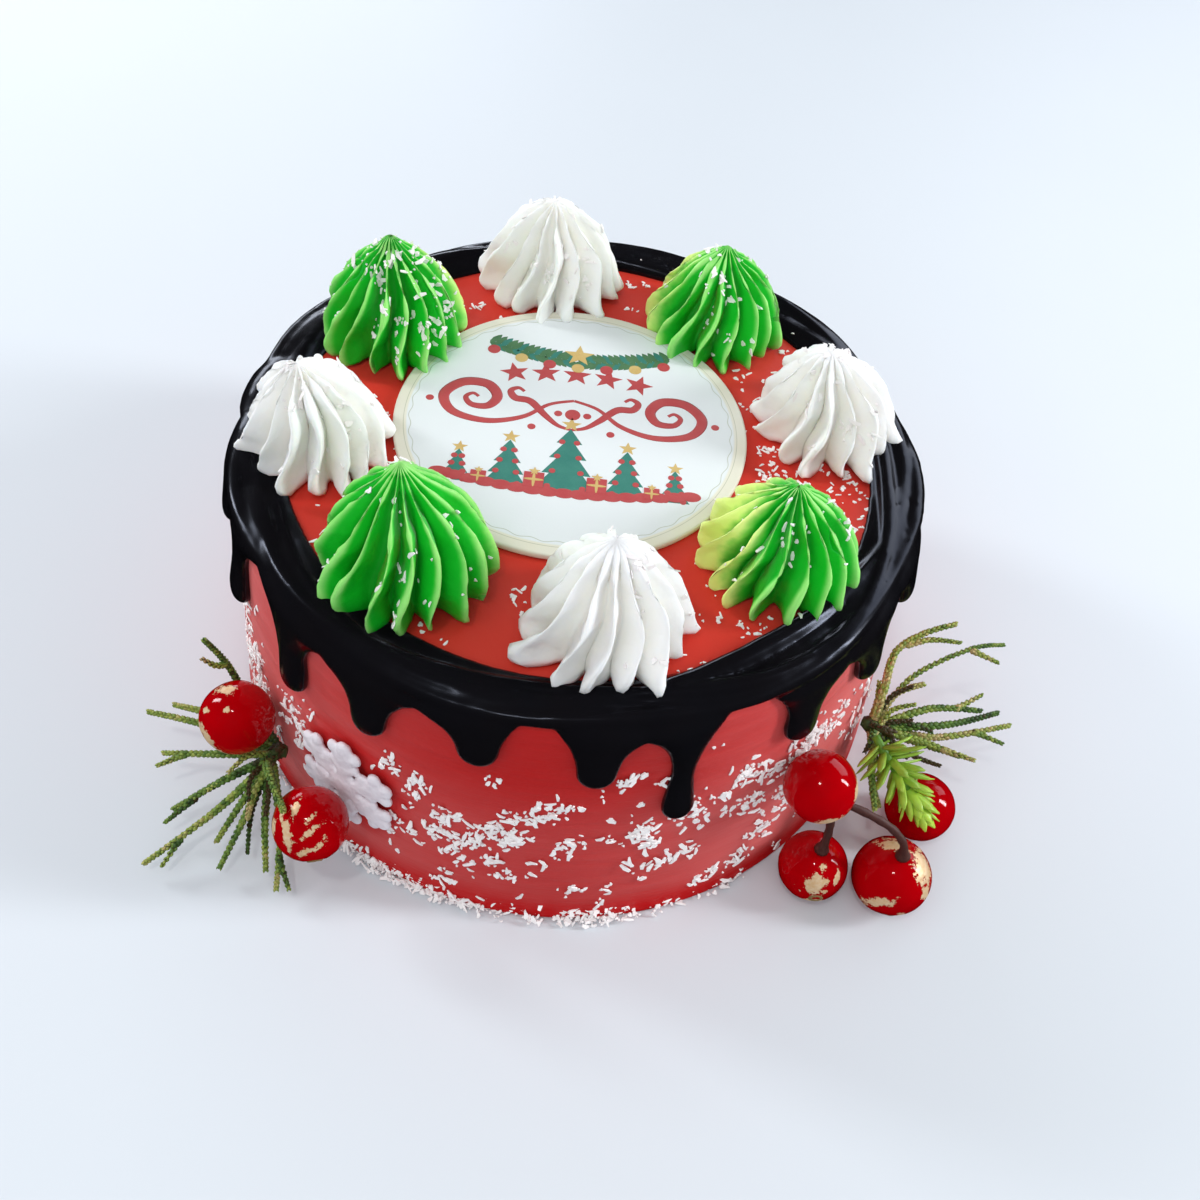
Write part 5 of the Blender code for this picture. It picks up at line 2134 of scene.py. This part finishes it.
@dataclass
class LacqueredBerry:
    """A glossy berry, drawn in at both ends, with torn gold leaf."""

    name: str
    centre: Point
    radius: float
    end: Point
    leaves: tuple[Leaf, ...] = ()
    dimple: float = 0.7 * MM
    # The rings drawn in at both ends: where each starts, and its share of the dimple
    hollows: Pairs = ((0.965, 0.25), (0.985, 0.35), (0.999, 0.4))
    # The size of the skin's waves, and how far they reach
    waves: Pair = (7 * MM, 0.35 * MM)

    def build(self, material: Material) -> Piece:
        """Models the berry and hands it over.

        Args:
            material: The berry's skin.

        Returns:
            The berry.
        """
        radius = self.radius * MM
        bpy.ops.mesh.primitive_uv_sphere_add(segments=64, ring_count=40, radius=radius, location=ORIGIN)
        berry = bpy.context.active_object
        with Bench.editing(berry):
            for side in (1, -1):
                for reach, share in self.hollows:
                    low = reach * radius
                    Bench.pick(berry, "VERT", lambda vert, low=low, side=side: side * vert.co.z > low)
                    Bench.move((0.0, 0.0, -side * self.dimple * share))
        Bench.aim(berry, self.end)
        berry.location = Vector(self.centre) * MM
        Bench.settle(berry)
        Bench.ruffle(berry, *self.waves)
        self._gild(berry)
        Bench.settle(berry)
        name = self.name.replace("berry", "lacquered")
        return Bench.deliver(berry, name, "berry_red", material, [self.name])

    def _gild(self, berry: Piece) -> None:
        """Marks where the gold leaf lies: 1 in the middle of a patch, and less outwards.

        Args:
            berry: The berry, in its place.
        """
        right, up, back = Studio().axes()
        centre = Vector(self.centre) * MM
        mark = berry.data.attributes.new("leaf", "FLOAT", "POINT")
        for item, vertex in zip(mark.data, berry.data.vertices):
            way = (vertex.co - centre) / (self.radius * MM)
            depths = [self._depth(leaf, way.dot(right), way.dot(up)) for leaf in self.leaves]
            item.value = max(depths, default=-1.0)
            if way.dot(back) < -0.1:
                item.value = -1.0

    def _depth(self, leaf: Leaf, across: float, up: float) -> float:
        """Tells how deep inside a patch a point lies.

        Args:
            leaf: The patch.
            across: The point's place to the right, as a share of the radius.
            up: The same upwards.

        Returns:
            1 in the patch's middle and 0 at its edge.
        """
        turn = math.radians(leaf.turn)
        x, y = across - leaf.across, up - leaf.up
        along = x * math.cos(turn) + y * math.sin(turn)
        aside = y * math.cos(turn) - x * math.sin(turn)
        return max(-1.0, 1 - math.hypot(along / leaf.half_width, aside / leaf.half_height))


@dataclass
class BerryCluster:
    """The six berries, the wires that carry the right ones, and their dried ends."""

    berries: tuple[LacqueredBerry, ...] = (
        LacqueredBerry(
            "berry_left_1", (-64.8, -55.9, 29), 7.9, (-0.5, -0.4, -0.8),
            (Leaf(-0.14, 0.78, 0.5, 0.2), Leaf(-0.64, -0.46, 0.26, 0.8, 35), Leaf(-0.6, 0.24, 0.16, 0.16),
             Leaf(0, 0.3, 0.14, 0.14)),
        ),
        LacqueredBerry(
            "berry_left_2", (-43.9, -76.7, 26), 7.8, (0.3, -0.9, -0.5),
            (Leaf(-0.4, -0.16, 0.22, 0.6, 6), Leaf(0.22, -0.05, 0.6, 0.14, 35),
             Leaf(0.42, -0.4, 0.5, 0.14, 48), Leaf(-0.84, -0.05, 0.14, 0.4, -8),
             Leaf(0.04, -0.6, 0.6, 0.14, 20), Leaf(-0.2, 0.5, 0.14, 0.5, -15),
             Leaf(-0.55, 0.4, 0.12, 0.4, -12), Leaf(0.2, 0.3, 0.4, 0.1, 40)),
        ),
        LacqueredBerry(
            "berry_right_1", (58.4, -60.1, 40.2), 7.6, (0.3, -0.6, -0.8),
            (Leaf(0.2, -0.9, 0.8, 0.2, 14), Leaf(0.93, -0.02, 0.16, 0.5, -8)),
        ),
        LacqueredBerry("berry_right_2", (89.3, -41.9, 8.3), 8, (0.8, 0.2, -0.3)),
        LacqueredBerry(
            "berry_right_3", (64, -60.9, 8.2), 7.8, (0.1, -0.9, -0.1),
            (Leaf(-0.07, -0.34, 0.55, 0.5), Leaf(0.54, -0.18, 0.12, 0.52, -10),
             Leaf(-0.1, -0.93, 0.7, 0.14, 4), Leaf(0.1, 0.2, 0.2, 0.14)),
        ),
        LacqueredBerry(
            "berry_right_4", (81.5, -61.2, 9.2), 8.8, (0.1, -0.7, -0.6),
            (Leaf(0.62, 0.3, 0.42, 0.75, 14), Leaf(0.7, -0.3, 0.2, 0.4, 30),
             Leaf(-0.46, -0.52, 0.62, 0.2, 10), Leaf(0.14, -0.9, 0.2, 0.16), Leaf(-0.1, 0.86, 0.5, 0.16)),
        ),
    )
    stem: Path = Path(
        ((57.6, -53, 31.4), (63, -57, 31.4), (70, -58.6, 30.2), (76.4, -59.8, 27.4), (80.2, -60.8, 23.4),
         (81.5, -61.2, 18.4))
    )
    branch: Path = Path(((62, -56.4, 31.4), (63.6, -59.4, 27.4), (64.1, -60.9, 22.4), (64.1, -61.2, 16.4)))
    wire_radius: float = 0.9 * MM
    # The radius and the thickness of the ring of dried petals in each berry's end
    petals: Pair = (1.25 * MM, 0.42 * MM)
    # How the wires widen into their berries
    flare: tuple[float, ...] = (1.3, 1.75, 1.9)

    def build(self) -> None:
        """Models the berries and their wires."""
        skin = BerrySkin().material()
        for berry in self.berries:
            berry.build(skin)
        rods = []
        for path, count in ((self.stem, 28), (self.branch, 18)):
            shares = [1 + 0.1 * math.sin(1.9 * i) for i in range(count - len(self.flare))]
            radii = [self.wire_radius * share for share in (*shares, *self.flare)]
            rods.append(Bench.rod(path.samples(count), radii, 10))
        wires = Bench.join(rods)
        Bench.settle(wires)
        Bench.deliver(wires, "wires", "brown_wire", Bark().material(), ["berry_wires"])
        ends = [self._dried_end(berry) for berry in self.berries]
        dried = Bark("dried_end", tint("5B4526"), tint("A98E57")).material()
        Bench.deliver(Bench.join(ends), "berry_ends", "brown_wire", dried, [])

    def _dried_end(self, berry: LacqueredBerry) -> Piece:
        """Models the small ring of dried petals in a berry's end.

        Args:
            berry: The berry.

        Returns:
            The petals.
        """
        bpy.ops.mesh.primitive_torus_add(
            major_radius=self.petals[0], minor_radius=self.petals[1], major_segments=20, minor_segments=8,
            location=ORIGIN,
        )
        ring = bpy.context.active_object
        Bench.aim(ring, berry.end)
        way = Vector(berry.end).normalized()
        ring.location = (Vector(berry.centre) + way * (berry.radius - 0.45)) * MM
        Bench.settle(ring)
        Bench.ruffle(ring, 0.8 * MM, 0.4 * MM)
        return ring


@dataclass(frozen=True)
class EvergreenSprig:
    """A sprig of scaly twigs that fan out of one short stem, given from there outwards in millimetres."""

    name: str
    node: str
    stem: Knots
    twigs: tuple[Knots, ...]
    forks: tuple[Knots, ...]
    stubs: tuple[Knots, ...]
    tones: Pair
    seed: int
    stem_radius: float = 1.9 * MM
    twig_radius: float = 1.1 * MM
    fork_radius: float = 0.85 * MM
    pitch: float = 0.56 * MM
    # A scale's length, width and thickness as shares of its twig's radius
    scale_size: Point = (1.6, 1.15, 0.5)

    def build(self, material: Material) -> Piece:
        """Models the stalks and covers them with scales.

        Args:
            material: The sprig's green.

        Returns:
            The sprig.
        """
        rng = random.Random(self.seed)
        scale = self._scale()
        thick = [self.stem_radius * share for share in (0.3, 0.55, 0.62, 0.62, 0.55, 0.3)]
        stalks = [Bench.rod(Path(self.stem).samples(6), thick, 8)]
        prints: list[Print] = []
        wood = [(twig, self.twig_radius, 0.0) for twig in self.twigs]
        wood += [(fork, self.fork_radius, 0.0) for fork in self.forks]
        wood += [(stub, self.fork_radius, 0.55 * (i % 2)) for i, stub in enumerate(self.stubs)]
        for knots, radius, dark in [*wood, (self.stem, self.stem_radius, 0.45)]:
            path = Path(knots)
            radii = [radius * between(0.62, 0.3, i / 13) for i in range(14)]
            stalks.append(Bench.rod(path.samples(14), radii, 6))
            prints.extend(self._scales(rng, scale, path, radius, rng.gauss(0, 0.16) - dark))
        sprig = Bench.join([Stamp.press("scales", prints), *stalks])
        Bench.settle(sprig)
        return Bench.deliver(sprig, self.name, "evergreen", material, [self.node])

    def _scale(self) -> Stamp:
        """Models one scale of length 1, its foot at the origin: a keeled, pointed leaf.

        Returns:
            The scale.
        """
        bpy.ops.mesh.primitive_cube_add(size=1.0, location=(0.5, 0, 0))
        scale = bpy.context.active_object
        Bench.settle(scale)
        with Bench.editing(scale):
            bpy.ops.mesh.bisect(plane_co=(0.55, 0, 0), plane_no=(1, 0, 0))
            Bench.pick(scale, "VERT", lambda vert: vert.co.x > 0.9)
            Bench.resize((1.0, 0.25, 0.3), (1.0, 0.0, 0.0))
            Bench.pick(scale, "VERT", lambda vert: vert.co.x < 0.1)
            Bench.resize((1.0, 0.7, 0.6), ORIGIN)
            Bench.pick(scale, "VERT", lambda vert: 0.5 < vert.co.x < 0.6 and vert.co.z > 0)
            Bench.move((0.0, 0.0, 0.35))
        return Stamp(scale)

    def _scales(
        self, rng: random.Random, scale: Stamp, path: Path, radius: float, shift: float
    ) -> Iterator[Print]:
        """Sets pairs of scales along a twig, each pair turned a quarter from the last.

        Args:
            rng: The random draws.
            scale: One scale.
            path: The twig's path.
            radius: The twig's radius at its foot.
            shift: What is added to the tones.

        Yields:
            The placed scales.
        """
        count = int(path.length() / self.pitch)
        for i in range(count):
            share = i / count
            along = path.heading(share)
            thick = between(radius, 0.55 * radius, share)
            tone = between(*self.tones, share) + shift + rng.gauss(0, 0.08)
            aside = along.cross(Vector((0.3, 0.2, 1.0))).normalized()
            for k in range(2):
                spin = Matrix.Rotation(math.pi * k + math.pi / 2 * (i % 2) + rng.gauss(0, 0.15), 3, along)
                out = spin @ aside
                lean = (along * 0.97 + out * 0.25).normalized()
                across = lean.cross(out).normalized()
                face = across.cross(lean)
                size = Matrix.Diagonal((*(thick * part for part in self.scale_size), 1.0))
                foot = path.at(share) + out * thick * 0.36
                yield Print(scale, Matrix.Translation(foot) @ frame(lean, across, face) @ size, tone)


@dataclass
class NeedleTuft:
    """The short spray of bright, flat needles over the right sprig."""

    stem: Path = Path(((73.4, -38.6, 29.6), (76.2, -42.4, 28.0), (81.0, -46.8, 24.6), (84.4, -49.6, 21.6)))
    needles: int = 50
    lengths: Pair = (9.4 * MM, 7.2 * MM)
    leans: Pair = (82.0, 15.0)
    turn: float = math.radians(137.5)
    width: float = 1.8 * MM
    thickness: float = 0.45 * MM
    seed: int = 8

    def build(self) -> Piece:
        """Models the stem and its needles.

        Returns:
            The tuft.
        """
        rng = random.Random(self.seed)
        blade = self._blade()
        knots = [Vector(knot) * MM for knot in self.stem.knots]
        start, end = knots[0].lerp(knots[1], 0.4), knots[-1]
        along = (end - start).normalized()
        across = along.cross(UP).normalized()
        prints = []
        for i in range(self.needles):
            share = i / (self.needles - 1)
            out = Matrix.Rotation(self.turn * i, 3, along) @ across
            lean = math.radians(between(*self.leans, share) + rng.gauss(0, 5))
            way = along * math.cos(lean) + out * math.sin(lean)
            side = way.cross(out).normalized()
            length = between(*self.lengths, share) * rng.uniform(0.85, 1.05)
            size = Matrix.Diagonal((length, self.width, self.thickness, 1.0))
            turned = frame(way, side, side.cross(-way))
            place = Matrix.Translation(start.lerp(end, share)) @ turned @ size
            prints.append(Print(blade, place, 0.35 + 0.65 * share + rng.gauss(0, 0.1)))
        stalk = Bench.rod(self.stem.samples(10), [1.0 * MM] * 10, 8)
        tuft = Bench.join([Stamp.press("needles", prints), stalk])
        Bench.settle(tuft)
        finish = FreshNeedles().material()
        return Bench.deliver(tuft, "lime_tuft", "lime_needles", finish, ["needle_tuft"])

    def _blade(self) -> Stamp:
        """Models one needle of length 1, its foot at the origin: a flat, keeled blade.

        Returns:
            The needle.
        """
        bpy.ops.mesh.primitive_cube_add(size=1.0, location=(0.5, 0, 0))
        blade = bpy.context.active_object
        Bench.settle(blade)
        with Bench.editing(blade):
            bpy.ops.mesh.bisect(plane_co=(0.3, 0, 0), plane_no=(1, 0, 0))
            bpy.ops.mesh.select_all(action="SELECT")
            bpy.ops.mesh.bisect(plane_co=(0.78, 0, 0), plane_no=(1, 0, 0))
            Bench.pick(blade, "VERT", lambda vert: vert.co.x > 0.9)
            Bench.resize((1.0, 0.2, 0.4), (1.0, 0.0, 0.0))
            Bench.pick(blade, "VERT", lambda vert: vert.co.x < 0.1)
            Bench.resize((1.0, 0.5, 1.0), ORIGIN)
            Bench.pick(blade, "VERT", lambda vert: 0.2 < vert.co.x < 0.8 and vert.co.z > 0)
            Bench.move((0.0, 0.0, 0.3))
        return Stamp(blade)


@dataclass
class Sprigs:
    """Both sprigs, their twigs given from the stem outwards in millimetres."""

    left: EvergreenSprig = EvergreenSprig(
        "green_sprig_left",
        "sprig_left",
        ((-56.1, -55.1, 17.6), (-57.4, -57.2, 18.6), (-58.6, -60.8, 19.6)),
        (
            ((-56.8, -56, 18), (-66, -46.6, 21), (-69.6, -45.4, 33), (-72.4, -47, 43)),
            ((-57, -56.4, 18), (-72.6, -50.6, 19.4), (-82, -49.4, 20)),
            ((-57, -56.8, 18), (-74, -51.6, 16.6), (-88.6, -49.7, 16)),
            ((-57.4, -57.2, 18.4), (-70.6, -58, 16), (-83.4, -57.3, 12)),
            ((-57.8, -58.4, 18.6), (-68.4, -63.6, 14), (-78.2, -68.5, 8)),
            ((-57.8, -58.8, 18.6), (-67.6, -68.6, 11.4), (-81.4, -80.4, 4.4)),
            ((-57.6, -59.2, 18.6), (-62.8, -66.8, 12.6), (-67.4, -73.7, 6)),
            ((-57.8, -59.6, 18.8), (-61.6, -69.4, 11.2), (-65.4, -79, 4.4)),
            ((-57.8, -60, 18.8), (-57.2, -69.4, 11.8), (-55.5, -78.2, 4.6)),
            ((-57.6, -59.6, 18.8), (-53.6, -70.6, 11.6), (-52.1, -82.2, 4.4)),
            ((-57.8, -60.2, 19.4), (-54.4, -68.8, 31.6), (-48.2, -78.9, 34)),
            ((-57.8, -60.6, 19.6), (-60, -66.4, 16), (-60.6, -70.6, 12.6)),
        ),
        (
            ((-69.6, -45.4, 33), (-71.4, -47.2, 34.6), (-73.4, -48.2, 37.8)),
            ((-77.6, -57.7, 14), (-83.6, -61, 12.6)), ((-73.4, -66.2, 10.6), (-79.6, -71.2, 6.4)),
            ((-74.6, -74.8, 7.6), (-77.5, -80.6, 4.6)), ((-52.9, -76.2, 8.2), (-49.4, -82, 4.6)),
            ((-54.6, -67.8, 29), (-47.6, -79.4, 35)),
        ),
        (
            ((-58, -58, 19), (-62.4, -60, 20.6), (-66, -63.6, 18.6)),
            ((-58, -59.6, 19), (-60.6, -64.4, 19.4), (-60.2, -69, 17.6)),
            ((-58, -58.4, 18.4), (-65, -61.4, 15.6), (-70.8, -65.4, 13)),
            ((-58.2, -60, 19), (-56.6, -66, 17.8), (-56, -71.4, 16.4)),
            ((-57.6, -59.6, 18.6), (-61, -67, 9.6), (-60.4, -75, 5)),
        ),
        (0.26, 0.62),
        5,
    )
    right: EvergreenSprig = EvergreenSprig(
        "green_sprig_right",
        "sprig_right",
        ((71.6, -32.2, 25.6), (74.6, -33.4, 26), (78, -34.6, 26)),
        (
            ((74, -32.8, 26.2), (75, -27.4, 32.6), (76.4, -21, 38.2), (82, -16.8, 40.8), (89.4, -13.5, 42)),
            ((74.2, -33, 26.2), (78.4, -26.4, 29.6), (84.6, -23.4, 31)),
            ((75, -33.4, 26.2), (87, -27.4, 27.4), (99.3, -25, 26)),
            ((75.4, -33.6, 26), (92, -28.6, 23.8), (103.9, -23.8, 24.4)),
            ((75.6, -33.8, 26), (90.6, -30.2, 20.6), (108.3, -23.7, 20)),
            ((75.8, -34, 26), (85.4, -32, 20), (96.3, -31.3, 16)),
            ((76, -34.2, 26), (86, -33.6, 23), (95, -34.6, 20.6)),
            ((75.6, -34.6, 25.8), (78, -36.4, 18.4), (79, -38, 11.4)),
            ((74.6, -34, 25.8), (73.6, -44, 24.6), (74.6, -52.7, 22.4)),
        ),
        (
            ((74.2, -32.8, 26.2), (82, -22, 31), (95.4, -13.4, 33.6), (103.4, -11, 34)),
            ((78.4, -19.4, 39.2), (84, -17.8, 40.4), (90.8, -17.4, 40.4)),
            ((95.4, -13.4, 33.6), (102.6, -14.6, 31.6)), ((93, -26.2, 26.8), (99.6, -21.4, 27.4)),
            ((99.2, -27, 20.4), (106.8, -28, 18.4)), ((90.6, -34.1, 21.8), (98, -36.6, 22.6)),
        ),
        (
            ((75, -34, 26.4), (77.4, -31, 29.6), (82.4, -29.4, 31)),
            ((74.6, -34.4, 26), (77.8, -38, 24.4), (82.6, -38.4, 22.6)),
            ((74.8, -34.6, 25.6), (80.4, -38.6, 20.6), (85.4, -41.4, 18.8)),
            ((74, -34.6, 26.4), (72.8, -38.6, 27.6), (71.6, -41.4, 27)),
            ((74.6, -35, 25.4), (75, -43, 20.4), (77, -49, 17.6)),
            ((74, -33.6, 27), (73, -36.4, 30.6), (74.6, -38.6, 33)),
            ((75.4, -33.4, 26.4), (81.4, -31.6, 26.4), (88, -31.8, 24.6)),
            ((75.4, -34.2, 25.4), (83.4, -36.4, 21.4), (91, -37.2, 19.4)),
            ((73.6, -32, 25.8), (74.2, -28.6, 28.8), (74, -25.4, 32.4)),
            ((74, -32.6, 26), (77, -28, 30.4), (81.4, -26, 33)),
            ((73.4, -34, 25.6), (74.6, -37.6, 22.4), (78.6, -40.4, 19)),
            ((73.8, -33.4, 26), (77.6, -32.8, 27.6), (82.4, -31.8, 28)),
        ),
        (0.74, 0.4),
        6,
    )

    def build(self) -> None:
        """Models both sprigs and the tuft."""
        material = Evergreen().material()
        self.left.build(material)
        self.right.build(material)
        NeedleTuft().build()


@dataclass(frozen=True)
class SoftLight:
    """An area light that faces the cake: its place and size in metres, and its power in watts."""

    name: str
    place: Point
    size: Pair
    power: float
    colour: Colour
    in_gloss: bool = True
    in_diffuse: bool = True

    def build(self) -> None:
        """Adds the light."""
        lamp = bpy.data.lights.new(self.name, "AREA")
        lamp.shape = "RECTANGLE"
        lamp.size, lamp.size_y = self.size
        lamp.energy = self.power
        lamp.color = self.colour[:3]
        light = Bench.show(self.name, lamp)
        light.location = self.place
        light.rotation_euler = (-Vector(self.place)).to_track_quat("-Z", "Y").to_euler()
        light.visible_glossy = self.in_gloss
        light.visible_diffuse = self.in_diffuse


@dataclass
class Studio:
    """The camera at the photograph's angle, the soft light and the pale surface."""

    target: Point = (8.57 * MM, -14.64 * MM, 34.5 * MM)
    distance: float = 283.7 * MM
    elevation: float = 50.778
    roll: float = 7.861
    lens: float = 36.741
    sensor: float = 36.0
    lights: tuple[SoftLight, ...] = (
        SoftLight("window", (1.1, 0.06, 0.56), (0.15, 0.62), 9.5, tint("FAFCFF")),
        SoftLight("side_window", (-0.95, 0.3, 0.55), (0.16, 0.42), 4.5, tint("FAFCFF")),
        SoftLight("back_window", (-0.55, 1.0, 0.26), (0.9, 0.22), 4.5, tint("EEF4FF")),
        SoftLight("lamp", (-0.15, -0.45, 1.1), (0.06, 0.06), 1.3, tint("FFFCF6")),
        SoftLight("fill", (-0.3, -0.7, 1.0), (1.5, 1.5), 6.6, tint("F8FBFF"), in_gloss=False),
        SoftLight("sheen", (0.66, 0.74, 0.54), (1.0, 0.6), 5.6, tint("ECF2FF"), in_diffuse=False),
    )
    sky: Colour = tint("F2F4F8")
    sky_strength: float = 0.46
    floor: float = 3.0

    def build(self) -> None:
        """Sets up the camera, the lights, the world and the surface."""
        self._place_camera()
        for light in self.lights:
            light.build()
        world = bpy.data.worlds.new("pale_room")
        bpy.context.scene.world = world
        world.cycles_visibility.glossy = False
        world.use_nodes = True
        sky = world.node_tree.nodes["Background"]
        sky.inputs["Color"].default_value = self.sky
        sky.inputs["Strength"].default_value = self.sky_strength
        bpy.ops.mesh.primitive_plane_add(size=self.floor, location=ORIGIN)
        floor = bpy.context.active_object
        floor.name = "table_top"
        floor.data.materials.append(TableTop().material())
        floor.visible_glossy = False
        bpy.context.scene.view_settings.view_transform = "Standard"

    def axes(self) -> tuple[Vector, Vector, Vector]:
        """Returns the camera's right, up and backward directions."""
        tilt, roll = math.radians(self.elevation), math.radians(self.roll)
        back = Vector((0.0, -math.cos(tilt), math.sin(tilt)))
        right = (-back).cross(UP).normalized()
        up = right.cross(-back)
        side = math.cos(roll) * right + math.sin(roll) * up
        top = math.cos(roll) * up - math.sin(roll) * right
        return side, top, back

    def _place_camera(self) -> None:
        """Adds the camera, tilted down and rolled as the photograph's was."""
        side, top, back = self.axes()
        lens = bpy.data.cameras.new("camera")
        lens.sensor_width = self.sensor
        lens.lens = self.lens
        camera = Bench.show("camera", lens)
        place = frame(side, top, back)
        place.translation = Vector(self.target) + back * self.distance
        camera.matrix_world = place
        bpy.context.scene.camera = camera


def main() -> None:
    """Loads the frame, builds every piece and reports it."""
    logging.basicConfig(level=logging.INFO, format="%(message)s")
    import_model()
    Studio().build()
    cake = IcedCake()
    cake.build()
    chocolate = ChocolateDrip(cake).build()
    kisses = KissRing().build()
    IcingPlaque().build()
    IcingSnowflake(cake).build()
    BerryCluster().build()
    Sprigs().build()
    CoconutShreds(cake, chocolate, kisses).build()


if __name__ == "__main__":
    main()
